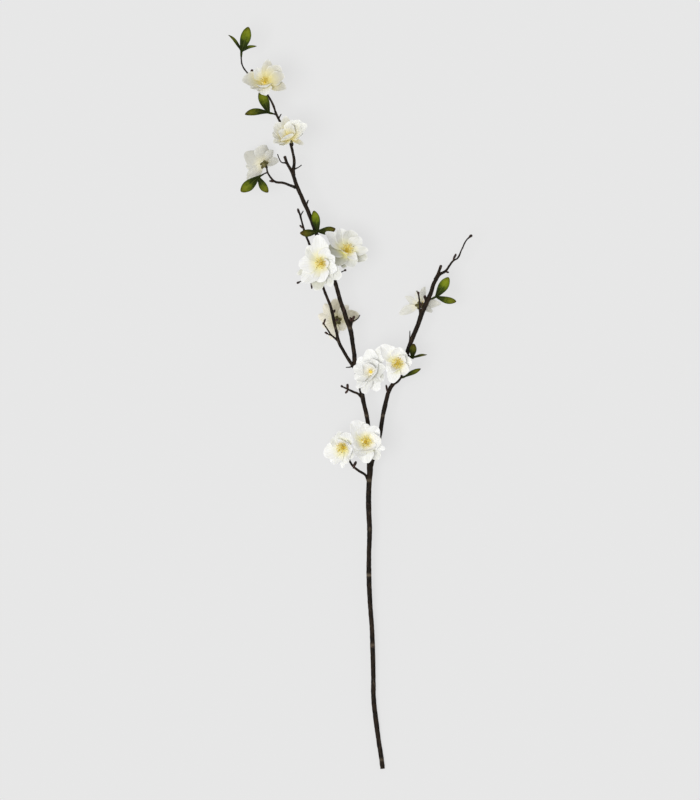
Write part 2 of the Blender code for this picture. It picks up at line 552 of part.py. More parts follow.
def make_leaf(root, tip, width, roll, arch):
    """A leaf from its root to its tip. With no roll its face is up."""
    root, tip = Vector(root), Vector(tip)
    length = (tip - root).length
    widths = [width * share for _, share in LEAF_OUTLINE]
    path = [(length * step, arch * math.sin(math.pi * step)) for step, _ in LEAF_OUTLINE]
    bm = blade(path, widths, LEAF_CAMBER, 0, -UP * BLADE)
    along = (tip - root).normalized()
    side = UP.cross(along).normalized()
    axes = Matrix((along, side, along.cross(side))).transposed().to_4x4()
    turned = Matrix.Translation(root) @ axes @ Matrix.Rotation(math.radians(roll), 4, "X")
    bmesh.ops.transform(bm, matrix=turned, verts=bm.verts)
    return object_from("leaf", bm)


def make_leaf_set(name, finish):
    foot, head, _, leaves = LEAF_SETS[name]
    foot, head = Vector(foot), Vector(head)
    sheath = tube([(*foot.lerp(head, along), thick) for along, thick in SHEATH_OUTLINE], LIMB_SIDES)
    root = head - (head - foot).normalized() * LEAF_SUNK
    pieces = [sheath] + [make_leaf(root, *leaf) for leaf in leaves]
    fuse("leaves_" + name, pieces, finish)


def make_branch(hubs, finish):
    pieces = [tube(MAIN_STEM + lead_of("tip"), STEM_SIDES)]
    pieces += [tube(route, LIMB_SIDES) for route in (RIGHT_BRANCH, SIDE_BRANCH)]
    pieces += [tube(route, TWIG_SIDES) for route in TWIGS]
    pieces += [tube(spur_of(name, hub), SPUR_SIDES) for name, hub in hubs.items()]
    pieces += [tube(lead_of(name), TWIG_SIDES) for name in LEAF_SETS if name != "tip"]
    pieces += [bud(*row) for row in BUDS]
    fuse("branch", pieces, finish)


def main():
    clear_scene()
    finishes = {name: material(name) for name in COLOURS}
    hubs = {name: hub_of(name) for name in BLOOMS}
    make_branch(hubs, finishes["wood"])
    for name, hub in hubs.items():
        make_petals(name, hub, finishes["petal"])
        make_stamens(name, hub, finishes["stamen"])
        make_calyx(name, hub, finishes["calyx"])
    for name in LEAF_SETS:
        make_leaf_set(name, finishes["leaf"])


main()
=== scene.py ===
"""Looks for the branch of almond blossom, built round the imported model.

Tables are in millimetres in the branch's frame: +Y from the cut end to the tip, +Z up, and the
surface at z = 0. The model is in metres. A route is a list of (x, y, z, thickness).
"""

import math
import random

import bpy
import numpy as np
from mathutils import Matrix, Vector


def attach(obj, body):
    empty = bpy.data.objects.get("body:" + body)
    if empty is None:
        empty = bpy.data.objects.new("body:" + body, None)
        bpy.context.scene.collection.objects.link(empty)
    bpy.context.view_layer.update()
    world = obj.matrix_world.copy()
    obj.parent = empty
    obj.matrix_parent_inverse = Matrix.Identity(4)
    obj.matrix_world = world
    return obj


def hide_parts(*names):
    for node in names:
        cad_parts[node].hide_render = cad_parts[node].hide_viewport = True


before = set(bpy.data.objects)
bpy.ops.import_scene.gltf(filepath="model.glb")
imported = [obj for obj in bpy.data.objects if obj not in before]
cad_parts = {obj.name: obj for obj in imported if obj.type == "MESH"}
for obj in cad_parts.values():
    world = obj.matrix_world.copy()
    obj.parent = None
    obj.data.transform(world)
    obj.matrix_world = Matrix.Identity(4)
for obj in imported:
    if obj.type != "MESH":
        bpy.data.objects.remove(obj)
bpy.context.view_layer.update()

MM = 0.001
UP = Vector((0, 0, 1))
GAP = 0.3

# The wood, as routes.
MAIN_STEM = [
    (39.4, -446, 2.864, 5.7), (37.6, -431, 2.864, 5.7), (35.3, -417, 2.864, 5.7), (31.4, -388, 4.4, 6.1),
    (28.4, -359, 6.0, 5.9), (28.1, -331, 7.5, 5.6), (27.3, -300, 9.2, 6.0), (26.2, -273, 10.7, 5.6),
    (24.1, -244, 12.3, 5.7), (22.8, -212, 14.0, 6.2), (22.8, -190, 15.2, 5.5), (23.5, -157, 17.0, 6.2),
    (22.4, -128, 18.6, 6.6), (22.8, -105, 19.8, 6.2), (24.0, -84, 21.0, 7.4), (23.5, -74, 21.5, 7.4),
    (22.0, -60, 22.3, 5.5), (22.0, -33, 23.8, 4.9), (20.0, -20, 24.6, 5.2), (17.0, -7, 25.4, 5.2),
    (15.0, 3, 26.0, 5.7), (11.0, 22, 27.1, 5.2), (6.0, 42, 28.2, 5.8), (5.0, 55, 29.0, 5.2),
    (3.5, 65, 29.7, 5.2), (0.0, 85, 31.0, 5.8), (-4.0, 95, 31.4, 5.6), (-7.0, 105, 31.8, 5.4),
    (-11.0, 116, 32.0, 5.1), (-17.0, 137, 32.6, 5.1), (-27.0, 165, 33.3, 4.9), (-41.0, 200, 34.2, 4.6),
    (-49.0, 222, 34.9, 5.0), (-57.0, 240, 35.4, 4.9), (-66.0, 262, 36.0, 4.5), (-68.0, 272, 36.4, 4.3),
    (-67.0, 285, 37.0, 3.5), (-69.0, 297, 37.5, 3.4), (-72.0, 308, 38.0, 3.1), (-78.0, 322, 38.5, 2.9),
    (-88.0, 341, 39.4, 2.9), (-92.0, 352, 39.8, 2.6), (-99.0, 365, 40.4, 2.3), (-107.0, 375, 40.9, 2.0),
    (-116.0, 384, 41.3, 1.9), (-123.0, 391, 41.6, 1.8), (-129.0, 400, 41.9, 1.8),
]
RIGHT_BRANCH = [
    (24.0, -84, 20.8, 6.0), (28.0, -70, 21.8, 5.6), (33.0, -55, 22.8, 5.4), (36.0, -43, 23.5, 5.3),
    (38.0, -30, 24.3, 5.2), (40.0, -18, 25.0, 5.0), (41.5, -11, 25.4, 5.7), (44.0, 0, 26.0, 5.1),
    (47.0, 10, 26.6, 5.0), (51.0, 17, 27.1, 5.0), (58.0, 23, 27.6, 4.8), (63.0, 36, 28.2, 5.6),
    (69.0, 56, 29.0, 5.6), (75.0, 73, 29.7, 5.5), (82.0, 90, 30.3, 5.5), (87.0, 105, 31.0, 6.0),
    (93.0, 118, 31.5, 5.7), (97.0, 127, 31.8, 5.2), (100.0, 137, 32.2, 4.5), (103.0, 143, 32.4, 4.6),
    (107.0, 149, 32.7, 3.9), (115.0, 154, 33.0, 3.0), (120.0, 161, 33.3, 2.6), (124.0, 166, 33.6, 2.4),
    (129.0, 169, 33.9, 2.2), (134.0, 179, 34.5, 1.8), (140.0, 191, 35.3, 1.6), (145.0, 195.5, 36.0, 2.2),
]
SIDE_BRANCH = [
    (7.0, 36, 27.9, 4.5), (2.0, 42, 28.6, 4.2), (-8.0, 58, 29.5, 3.9), (-14.0, 70, 30.1, 4.2),
    (-16.0, 80, 30.5, 3.8), (-19.0, 92, 31.0, 3.8), (-21.5, 104, 31.3, 3.9), (-24.0, 113, 31.4, 3.4),
    (-30.0, 128, 31.6, 3.4), (-40.0, 158, 32.2, 2.9), (-49.5, 188, 33.0, 2.7), (-52.0, 194, 33.2, 2.9),
    (-55.5, 204, 33.6, 2.8), (-57.0, 210, 33.8, 2.5), (-60.0, 221, 34.2, 2.5), (-62.0, 227, 34.4, 2.5),
]
TWIGS = [
    # From the side branch, low to high.
    [(-14, 69.5, 30.0, 2.5), (-23, 77.5, 29.6, 2.0), (-28, 85, 29.4, 1.8), (-31, 89.5, 29.2, 1.6)],
    [(-22, 76.6, 29.7, 1.9), (-26, 77.6, 29.8, 1.6)],
    [(3, 39, 28.4, 1.6), (-1, 38.2, 28.5, 1.4), (-5, 38, 28.6, 1.2)],
    [(-38, 152, 32.2, 1.6), (-50, 145, 38, 1.4), (-60, 140.8, 43, 1.2)],
    [(-48.5, 145.9, 37.2, 1.4), (-46.8, 141.5, 37.2, 1.2)],
    [(-59.5, 220, 34.1, 1.6), (-57.5, 223.5, 34.3, 1.4), (-56, 226, 34.4, 1.2)],
    # From the main stem, low to high.
    [
        (16.5, -1, 25.6, 3.2), (10, 6, 26.6, 2.9), (3, 9, 27.2, 2.8), (-3, 12, 27.8, 2.4),
        (-8.5, 14.5, 28.2, 1.9),
    ],
    [(0, 84.5, 31.6, 3.8), (1.6, 91, 32.6, 3.5), (2.2, 93.6, 33.0, 3.0)],
    [(1.8, 92.6, 32.8, 1.9), (6, 94.4, 33.4, 1.5), (9.5, 97, 33.7, 1.4), (12, 101, 34.0, 1.2)],
    [(-21.5, 150, 33, 1.6), (-13, 151.5, 33.5, 1.4), (-7, 154, 34.5, 1.2)],
    [(-52.5, 233, 35.3, 2.0), (-50, 239, 36.0, 1.4)],
    [(-67.5, 268, 36.4, 3.8), (-71, 275, 36.8, 3.8), (-76, 284, 37.4, 3.5), (-78, 290, 37.6, 3.6)],
    [(-75, 282.8, 37.3, 2.0), (-82, 284, 37.9, 1.5), (-85, 288.5, 38.2, 1.4), (-87, 294, 38.3, 1.2)],
    [(-67.6, 275.5, 36.6, 1.8), (-62, 278, 36.9, 1.4), (-58, 281, 37.0, 1.2)],
    [(-85.4, 337, 39.3, 1.6), (-82.5, 342, 39.6, 1.2)],
    [(-116.4, 384.6, 41.5, 1.6), (-117.2, 391.6, 43.0, 1.2)],
    # From the right branch, low to high.
    [(84.5, 101.5, 31.0, 2.8), (84, 108, 31.8, 2.2), (83.4, 118, 32.2, 2.0), (82.3, 126, 32.4, 2.0)],
    [(82.6, 124.5, 32.4, 1.6), (80, 130, 32.8, 1.2)],
    [(91, 113.5, 31.9, 4.1), (91.6, 118, 32.4, 3.8), (89.9, 122.6, 32.8, 3.8)],
    [(102.5, 143, 32.5, 3.8), (105.5, 150, 33.2, 3.5), (109, 159, 33.7, 3.5)],
    [(70, 61, 30.0, 1.8), (71.6, 71, 30.9, 1.5), (72, 82, 31.4, 1.2)],
]
# A bud is (foot), (tip), thickness.
BUDS = [
    ((-20.6, 101.5, 32.0), (-18.2, 107.4, 33.2), 3.4),
    ((-19.0, 93.6, 31.6), (-13.8, 96.0, 32.4), 2.9),
    ((-30.4, 88.6, 29.3), (-32.6, 92.2, 29.3), 3.2),
    ((-31.4, 90.0, 29.2), (-29.8, 96.6, 29.8), 2.6),
    ((-25.2, 77.5, 29.8), (-30.6, 80.4, 30.1), 2.9),
    ((-59.5, 141.0, 42.8), (-64.0, 138.6, 44.5), 3.0),
    ((-46.9, 141.9, 37.2), (-45.6, 132.0, 36.8), 2.6),
    ((-55.9, 204.5, 33.9), (-60.6, 208.8, 34.6), 2.6),
    ((-61.0, 222.0, 34.4), (-62.9, 229.0, 34.6), 3.0),
    ((-7.6, 14.0, 28.2), (-11.2, 16.2, 28.5), 3.2),
    ((-2.2, 11.6, 27.9), (-3.4, 18.4, 28.6), 3.6),
    ((-2.0, 11.8, 27.6), (-5.6, 6.6, 27.6), 3.1),
    ((1.4, 91.6, 32.9), (0.2, 98.4, 34.0), 3.4),
    ((2.0, 92.4, 33.0), (5.2, 100.0, 34.2), 3.6),
    ((-7.5, 153.8, 34.4), (-4.4, 155.2, 35.4), 3.0),
    ((-77.6, 288.4, 37.6), (-78.6, 291.8, 37.8), 4.1),
    ((-6.4, 102.8, 33.4), (-7.8, 109.6, 34.6), 2.8),
    ((82.5, 124.6, 32.4), (82.0, 129.0, 32.7), 3.1),
    ((83.6, 111.0, 32.0), (86.6, 115.0, 32.8), 2.5),
    ((91.0, 120.4, 32.7), (89.2, 124.4, 33.0), 4.1),
    ((108.2, 157.2, 33.6), (109.6, 161.0, 33.8), 3.8),
    ((113.6, 152.9, 33.4), (119.0, 152.0, 34.2), 2.6),
    ((123.4, 165.6, 33.9), (127.4, 174.6, 34.8), 3.2),
    ((142.6, 193.4, 35.6), (146.6, 197.2, 36.3), 3.8),
    ((45.6, 6.0, 27.8), (43.2, 17.4, 29.4), 2.9),
    ((-89.0, 261.0, 33.1), (-97.2, 261.8, 33.4), 3.0),
    ((3.6, -84.0, 21.2), (7.4, -74.6, 23.0), 3.8),
    ((-117.2, 391.0, 42.9), (-117.8, 395.4, 43.6), 3.8),
    ((26.0, -296.0, 11.0), (29.8, -301.0, 11.4), 3.2),
    ((24.4, -128.0, 20.4), (19.6, -124.6, 21.4), 3.5),
]
# Where along Y an old leaf scar leaves the stem's bark paler, and how pale.
SCARS = [(-435, 0.4), (-297, 0.7), (-212, 0.8), (-157, 0.2), (-98, 0.55), (-20, 0.4), (85, 0.4)]

# Each bloom: its hub, the way it faces, its calyx's turn in degrees, its stamens' size, and its petals'
# cloth. A bloom with no height faces down to the surface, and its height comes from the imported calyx.
BLOOMS = {
    "top": ((-102, 378, 50), (0, 0.5, 0.87), 8, 0.6, "cream"),
    "upper": ((-72, 311.5, 50), (-0.35, 0.6, 0.72), 40, 0.3, "cream"),
    "left_twig": ((-103.6, 282.5, None), (-0.4, 0.42, -0.81), 20, 0.9, "thin"),
    "pair_left": ((-34, 162, 57), (-0.15, 0.05, 0.98), 64, 1.0, "white"),
    "pair_right": ((-5, 176, 40), (0.25, 0.42, 0.87), 30, 1.0, "white"),
    "behind_left": ((-15.5, 94.5, None), (0.04, 0.0, -1.0), 12, 0.9, "beige"),
    "behind_right": ((84, 113, None), (0.06, 0.48, -0.87), 3, 0.9, "thin"),
    "middle_left": ((26, 31.5, 39), (-0.33, 0.34, 0.88), 60, 0.3, "folded"),
    "middle_right": ((57, 42, 53), (-0.04, 0.08, 0.99), 18, 1.0, "white"),
    "low_left": ((-6, -58, 29), (-0.42, -0.08, 0.9), 0, 1.0, "white"),
    "low_right": ((18, -52, 46), (0.15, 0.1, 0.98), 36, 1.0, "white"),
}

# Each bloom's petals, as (angle, length, width, rise at the root, rise at the tip), the angle and the
# rises in degrees. In the bloom's own axes, angle 0 is as near the branch's +X as it can be.
PETALS = {
    "top": [
        (180, 25, 25, 25, 8), (80, 26, 14, 35, 22), (35, 25, 22, 38, 25), (337, 26, 15, 16, 2),
        (268, 19, 20, 27, 15), (217, 18, 20, 25, 12), (130, 18, 18, 42, 35), (5, 25, 18, 36, 26),
        (258, 11, 20, 44, 46),
    ],
    "upper": [
        (205, 18, 22, 28, 12), (165, 19, 20, 36, 24), (130, 23, 20, 40, 30), (92, 25, 15, 40, 30),
        (60, 20, 18, 44, 36), (32, 23, 20, 38, 26), (5, 27, 19, 32, 20), (345, 20, 14, 28, 16),
        (318, 23, 7, 8, -2), (240, 14, 18, 22, 10), (275, 16, 17, 50, 88), (150, 14, 16, 56, 60),
        (45, 16, 16, 58, 62),
    ],
    "left_twig": [
        (275, 21, 22, 28, 15), (325, 19, 16, 30, 18), (10, 21, 14, 25, 10), (212, 24, 19, 30, 18),
        (125, 27, 17, 26, 14), (170, 19, 17, 32, 25), (255, 13, 14, 55, 50), (190, 13, 14, 55, 50),
        (315, 10, 13, 55, 50),
    ],
    "pair_left": [
        (92, 34, 22, 35, 20), (130, 24, 19, 25, 8), (183, 25, 23, 30, 15), (230, 31, 22, 26, 12),
        (204, 29, 12, 10, 0), (263, 31, 20, 14, 0), (272, 23, 23, 34, 22), (296, 28, 16, 15, 3),
        (324, 28, 20, 16, 4), (335, 21, 19, 34, 24), (17, 20, 18, 38, 28), (60, 22, 17, 46, 36),
        (5, 14, 12, 58, 62),
    ],
    "pair_right": [
        (150, 32, 22, 28, 15), (112, 26, 24, 30, 15), (76, 25, 23, 32, 17), (44, 22, 19, 32, 18),
        (2, 24, 13, 30, 20), (345, 24, 17, 10, -5), (287, 22, 20, 20, 5), (238, 24, 19, 18, 4),
        (193, 24, 23, 24, 12), (305, 18, 12, 45, 35), (225, 11, 12, 60, 66), (262, 20, 14, 6, -6),
    ],
    "behind_left": [
        (265, 25, 20, 28, 12), (230, 24, 15, 28, 12), (195, 22, 15, 25, 12), (165, 19, 15, 35, 25),
        (110, 22, 14, 30, 18), (55, 14, 15, 40, 30), (345, 26, 18, 25, 12), (280, 15, 14, 55, 50),
        (205, 12, 14, 55, 50), (65, 10, 12, 55, 50), (305, 20, 12, 22, 8),
    ],
    "behind_right": [
        (145, 29, 12, 22, 10), (200, 18, 8, 30, 20), (255, 15, 8, 35, 25), (285, 20, 8, 32, 20),
        (5, 23, 13, 25, 12), (40, 17, 8, 20, 8), (170, 14, 7, 45, 35), (275, 12, 8, 55, 50),
        (150, 11, 8, 55, 50), (30, 12, 8, 55, 50),
    ],
    "middle_left": [
        (130, 21, 18, 30, 20), (85, 26, 20, 30, 20), (58, 31, 19, 22, 10), (165, 20, 18, 30, 18),
        (205, 19, 18, 25, 12), (232, 24, 15, 22, 8), (257, 28, 16, 18, 5), (290, 25, 19, 15, 3),
        (325, 22, 18, 24, 14), (355, 22, 20, 38, 32), (310, 16, 31, 54, 62), (45, 18, 17, 50, 45),
        (135, 17, 19, 64, 92), (55, 16, 17, 66, 92),
    ],
    "middle_right": [
        (131, 28, 20, 28, 15), (176, 13, 18, 33, 25), (79, 20, 20, 40, 35), (11, 16, 19, 28, 18),
        (316, 16, 16, 32, 22), (253, 23, 17, 25, 12), (216, 14, 13, 28, 18), (42, 17, 12, 55, 60),
        (248, 16, 12, 58, 60),
    ],
    "low_left": [
        (200, 24, 21, 28, 15), (140, 18, 15, 40, 30), (92, 21, 18, 38, 28), (60, 25, 18, 38, 26),
        (235, 22, 19, 25, 12), (290, 18, 20, 28, 15), (5, 19, 19, 44, 46), (325, 18, 15, 35, 25),
        (265, 22, 10, 8, -5), (100, 16, 12, 60, 65), (25, 15, 12, 55, 60),
    ],
    "low_right": [
        (125, 29, 25, 28, 14), (97, 21, 20, 32, 20), (52, 22, 20, 32, 20), (5, 20, 20, 42, 40),
        (340, 23, 9, 20, 8), (310, 24, 16, 8, -5), (270, 24, 20, 25, 12), (235, 22, 17, 30, 20),
        (285, 17, 22, 50, 52), (200, 16, 16, 35, 28),
    ],
}
# Petals with painted shade, greyer than their neighbours', by their place in the table, and by how much.
SHADED = {
    "top": {0: 0.8, 1: 0.9, 2: 0.8, 3: 1.2, 5: 0.3, 7: 1.2},
    "upper": {0: 0.3, 1: 0.5, 2: 0.4, 3: 0.7, 8: 1.0, 12: 0.5},
    "left_twig": {0: 0.8, 1: 0.4, 2: 0.3, 3: 1.3, 4: 0.8, 5: 0.8},
    "pair_left": {1: 0.5, 4: 0.9, 5: 1.0, 7: 0.5, 8: 0.3},
    "pair_right": {1: 0.2, 2: 0.5, 3: 0.3, 4: 0.5, 5: 0.8, 6: 0.4, 7: 1.3, 8: 1.3, 11: 1.4},
    "behind_left": {0: 0.7, 6: 0.5},
    "behind_right": {0: 0.5, 1: 0.5, 2: 0.5, 3: 0.6, 4: 0.5, 5: 0.6, 6: 0.6},
    "middle_left": {8: 0.3, 9: 0.2},
    "low_left": {1: 0.4, 2: 0.4, 7: 0.3},
    "low_right": {5: 0.4, 9: 0.3},
}

# The wood between the branch and each bloom's calyx, from its root on.
SPURS = {
    "top": [(-102.5, 369.5, 40.6, 1.8), (-101.4, 371.5, 41.6, 1.6)],
    "upper": [(-69, 297, 37.5, 2.3), (-70.2, 301.5, 39.8, 2.2)],
    "left_twig": [
        (-65, 254, 35.8, 3.4), (-72, 256.5, 34.6, 3.2), (-80, 259.5, 33.6, 3.0), (-90, 261, 33.0, 2.9),
        (-96, 267, 33.2, 2.4), (-98.8, 272, 34.0, 2.1), (-100, 277, 34.6, 2.0),
    ],
    "pair_left": [(-27.5, 164, 33.6, 2.4), (-31, 162, 40, 2.2)],
    "pair_right": [(-22.5, 154, 33.0, 2.2), (-15.5, 160.5, 29.5, 2.0), (-10.5, 166, 28.5, 1.9)],
    "behind_left": [(-19.8, 94.6, 30.7, 2.3), (-17.2, 94.6, 28.6, 2.1)],
    "behind_right": [(84.8, 98.5, 30.4, 2.3), (84.0, 103.0, 30.2, 2.1)],
    "middle_left": [(10.5, 24, 27.2, 2.4), (18, 27, 27.4, 2.2)],
    "middle_right": [(62.5, 37, 28.6, 2.3), (59, 41, 34, 2.2)],
    "low_left": [
        (22, -98, 20.2, 3.3), (19, -92, 20.6, 3.1), (10, -86, 20.8, 3.0), (3, -80, 20.2, 2.8),
        (-2, -70, 18.4, 2.3), (-2.6, -63, 17.4, 2.2),
    ],
    "low_right": [(22.2, -55, 22.6, 2.6), (18.4, -53.4, 31, 2.3)],
}

# Each leaf set: the foot and the head of its sheath, the wood that leads to it, and its leaves. A leaf
# is its tip, its width, its roll in degrees (0 faces up), how far it arches and how brown it is.
LEAF_SETS = {
    "tip": (
        (-130.4, 411, 42.1), (-130.2, 418, 42.6), [],
        [
            ((-122, 446, 44), 13, 8, 2.0, 0.15), ((-146, 436, 46), 8.5, 62, 1.5, 0.5),
            ((-112, 423, 39), 8, -60, 1.5, 0.3),
        ],
    ),
    "upper": (
        (-93, 342.4, 39.6), (-99, 343.8, 39.9), [(-88, 340.6, 39.4, 2.0)],
        [((-108.3, 369, 42.6), 12.5, 10, 2.0, 0.35), ((-126, 341, 43), 11, 34, 3.0, 0.7)],
    ),
    "left_twig": (
        (-106.4, 268.5, 34.4), (-111, 266, 35.0), [(-98.9, 272, 34.0, 1.7), (-102.6, 270.8, 34.3, 1.5)],
        [((-131, 249, 36), 13.5, -8, 2.0, 0.4), ((-98.5, 248, 34), 10.5, 24, 2.0, 0.55)],
    ),
    "middle": (
        (-39.6, 200.6, 36.2), (-38.0, 201.8, 38.8), [(-41, 199.8, 34.4, 2.2)],
        [
            ((-43.5, 226, 38), 10.5, 12, 1.5, 0.0), ((-17.5, 204, 41), 10.5, 16, 3.0, 0.9),
            ((-60, 199, 39), 9.5, -18, 2.0, 1.0),
        ],
    ),
    "right": (
        (98.2, 120.4, 32.5), (104.8, 123.5, 33.3), [(93, 117.6, 31.7, 3.4), (95.2, 118.8, 32.1, 3.0)],
        [((118.5, 146, 36), 12.5, 4, 2.0, 0.0), ((127.5, 117, 34), 10, 28, 1.0, 0.5)],
    ),
    "fork_low": (
        (62.6, 25.7, 28.4), (66.4, 27.3, 28.9), [(58.6, 24, 27.8, 2.6)],
        [((85, 36.5, 31), 6.5, 30, -1.0, 0.7)],
    ),
    "fork_high": (
        (72.4, 51.1, 29.3), (76.1, 48.8, 30.2), [(68.3, 54, 29.0, 2.4)],
        [((76.8, 66.5, 33), 9, -10, 1.0, 0.9), ((92.5, 53.5, 32), 5.5, 56, -1.5, 0.9)],
    ),
}

# Petals. Each is a cloth blade, rolled a little about its length. The root is a distance from the
# bloom's axis and a height above its hub's foot.
PETAL_CLOTH = 0.35
PETAL_ROOT = (2.9, 1.1)
PETAL_ROLL = 10
PETAL_CAMBER = 0.11
RUFFLE, CRUMPLE, CURL = 0.6, 0.6, 1.6
# How uneven a petal's tip is, and from what share of its length on it curls.
TIP_RIPPLE, CURL_START = 0.02, 0.55
# A petal narrower than this is less ruffled, in proportion.
FULL_RUFFLE_WIDTH = 15
PETAL_ROWS, PETAL_COLUMNS = 18, 20
HUB_FOOT, HUB_RADIUS, HUB_HEIGHT = 3.74, 4.4, 2.2

# A blade's width follows a sine wave from its root to its tip: where in the half wave it starts, how
# much of it it takes, and a power that shifts its widest place.
PETAL_OUTLINE = (0.045, 0.66, 0.95)
LEAF_OUTLINE = (0.09, 0.68, 1.15)
SEPAL_OUTLINE = (0.22, 0.74, 1)
# How far a petal's corners are cut back at its tip, and how near its sides that starts.
TIP_ROUNDING, TIP_CORNER = 0.27, 2.4

# The calyx: a cup on the spur's end, and its sepals, which droop from the cup's rim.
CUP_RADIUS, CUP_FOOT, CUP_LENGTH = 3.6, 1.4, 6.5
SEPALS, SEPAL_UNEVEN_DEGREES = 5, 4
SEPAL_LENGTH, SEPAL_WIDTH, SEPAL_THICK, SEPAL_DROOP = 3.1, 4.0, 0.5, 26
SEPAL_CAMBER, SEPAL_CRUMPLE = 0.10, 0.15
SEPAL_ROWS, SEPAL_COLUMNS = 10, 8
SPUR_THICK, SPUR_NECK, SPUR_NECK_THICK = 2.4, 2.5, 2.16
SEAT = GAP + CUP_LENGTH + GAP
SEPAL_ROOT = (2.5, -GAP - 0.2)

# The stamens: a dome on the hub, and rings of filaments as (count, distance from the axis, lean).
DOME_RADIUS, DOME_TOP, DOME_HEIGHT = 2.3, 1.84, 1.6
FILAMENTS = ((3, 0.4, 2), (8, 0.9, 6), (13, 1.3, 12), (16, 1.6, 20))
# A filament as (out, up, thickness): it bows away from the middle of the tuft.
FILAMENT = [(0, 0, 0.5), (0.2, 3.5, 0.42), (1.0, 7, 0.36), (2.1, 9.6, 0.32)]
ANTHER_LONG, ANTHER_WIDE, ANTHER_LEAN = 1.5, 0.95, 40

# The wood's last stretch before a sheath, and how far a leaf's root sinks into its sheath.
LEAD_THICK, LEAD_NECK = 1.9, 2.4
LEAF_SUNK = 1.5
LEAF_CLOTH = 0.4
LEAF_CAMBER, LEAF_CRUMPLE, LEAF_WAVE = 0.10, 0.30, 0.22
LEAF_ROWS, LEAF_COLUMNS = 26, 12
# A sheath as (share of the way from its foot to its head, thickness). It starts just inside the wood.
SHEATH = ((-0.12, 2.0), (0.0, 2.3), (0.35, 2.8), (0.75, 2.8), (1.1, 1.5))
SHEATH_BROWN = 0.3

# The swelling where a limb leaves the wood below: its length and girth, as shares of the limb's
# thickness.
COLLAR_LENGTH, COLLAR_GIRTH = 1.6, 1.35
SCAR_WIDTH = 1.6
# Wood farther than this from the middle line has no scars.
SCAR_REACH = 45

# Colours, all linear. A petal's cloth has five parts, and the last is the share of its length that
# the throat reaches. The shade is the colour that painted shade and random greying pull the cloth
# towards. The thin and beige cloths and their backs are greyer copies of the petal cloth, the thin ones
# with grey rims: painted shade for the blooms that face down under the branch. The folded cloth's
# greyer throat is painted shade in that bloom's closed cup.
CLOTH_PARTS = ("Cloth", "Throat", "Shade", "Rim", "Throat reach")
CLOTHS = {
    "back": ((0.90, 0.90, 0.86), (0.86, 0.82, 0.58), (0.55, 0.55, 0.46), (0.92, 0.92, 0.88), 0.4),
    "white": ((0.92, 0.92, 0.90), (0.95, 0.90, 0.40), (0.60, 0.60, 0.51), (0.95, 0.95, 0.94), 0.6),
    "folded": ((0.92, 0.92, 0.90), (0.84, 0.80, 0.62), (0.60, 0.60, 0.51), (0.95, 0.95, 0.94), 0.45),
    "cream": ((0.88, 0.88, 0.83), (0.81, 0.70, 0.22), (0.60, 0.58, 0.49), (0.90, 0.90, 0.87), 0.78),
    "thin": ((0.86, 0.85, 0.78), (0.86, 0.80, 0.55), (0.60, 0.59, 0.53), (0.70, 0.70, 0.66), 0.5),
    "thin back": ((0.84, 0.83, 0.77), (0.50, 0.46, 0.26), (0.60, 0.59, 0.53), (0.64, 0.64, 0.60), 0.5),
    "beige": ((0.80, 0.76, 0.64), (0.70, 0.64, 0.38), (0.50, 0.46, 0.34), (0.86, 0.82, 0.72), 0.5),
    "beige back": ((0.78, 0.74, 0.63), (0.48, 0.44, 0.22), (0.48, 0.44, 0.33), (0.86, 0.82, 0.72), 0.55),
}
BARK = {"Dark": (0.006, 0.0045, 0.003), "Mid": (0.026, 0.016, 0.009), "Pale": (0.085, 0.062, 0.042)}
BUD_SCALES = {"Dark": (0.012, 0.006, 0.004), "Mid": (0.055, 0.022, 0.015), "Pale": (0.11, 0.05, 0.03)}
SCAR_COLOUR = (0.16, 0.125, 0.085)
LEAF_GREENS = [
    (0.20, (0.003, 0.007, 0.001)), (0.40, (0.018, 0.034, 0.002)), (0.58, (0.130, 0.175, 0.006)),
    (0.80, (0.235, 0.290, 0.012)), (1.00, (0.110, 0.130, 0.005)),
]
LEAF_BROWNS = [
    (0.20, (0.004, 0.006, 0.001)), (0.45, (0.022, 0.020, 0.003)), (0.70, (0.075, 0.055, 0.006)),
    (1.00, (0.050, 0.022, 0.004)),
]
LEAF_RIM, LEAF_VEIN, LEAF_RIB = (0.012, 0.026, 0.002), (0.19, 0.24, 0.05), (0.24, 0.28, 0.06)
# Blotchy finishes: roughness, shine, the blotches' noise as (scale, detail), their colours, and the
# relief as (scale, detail, strength, depth).
BLOTCHY = {
    "filament": (0.6, 0.2, (500, 2), [(0.3, (0.78, 0.58, 0.05)), (0.7, (0.94, 0.82, 0.24))], None),
    "anther": (
        0.8, 0.1, (330, 2),
        [(0.34, (0.14, 0.07, 0.02)), (0.42, (0.60, 0.38, 0.03)), (0.56, (0.84, 0.64, 0.07))],
        (2600, 2, 0.4, 0.2),
    ),
    "calyx": (
        0.65, 0.2, (380, 3),
        [(0.30, (0.07, 0.06, 0.02)), (0.52, (0.15, 0.13, 0.045)), (0.72, (0.26, 0.24, 0.11))],
        (1500, 3, 0.4, 0.3),
    ),
}

# The branch lies down and is seen from straight above, from far away. At the branch's height the
# photograph's 800 rows cover 960 mm, and the frame's origin is one row above its middle.
VIEW_HEIGHT = 960
VIEW_LEVEL = 38
VIEW_LENS, VIEW_SENSOR = 250, 36
VIEW_CENTRE = (0, -1.2)
VIEW_REACH = 100

# The stage: grey paper that glows a little, an even white sky and one soft key light. The paper's
# width is in metres, and the light's softness in degrees.
PAPER_WIDTH, PAPER_GREY, PAPER_GLOW = 12, 0.14, 0.65
SKY_STRENGTH = 0.5
KEY_STRENGTH, KEY_SOFTNESS = 1.9, 35
KEY_WAY = (0.28, 0.15, -0.95)


def select_only(*things):
    """Leaves only these objects selected, the first of them active."""
    bpy.ops.object.select_all(action="DESELECT")
    for thing in things:
        thing.select_set(True)
    bpy.context.view_layer.objects.active = things[0]


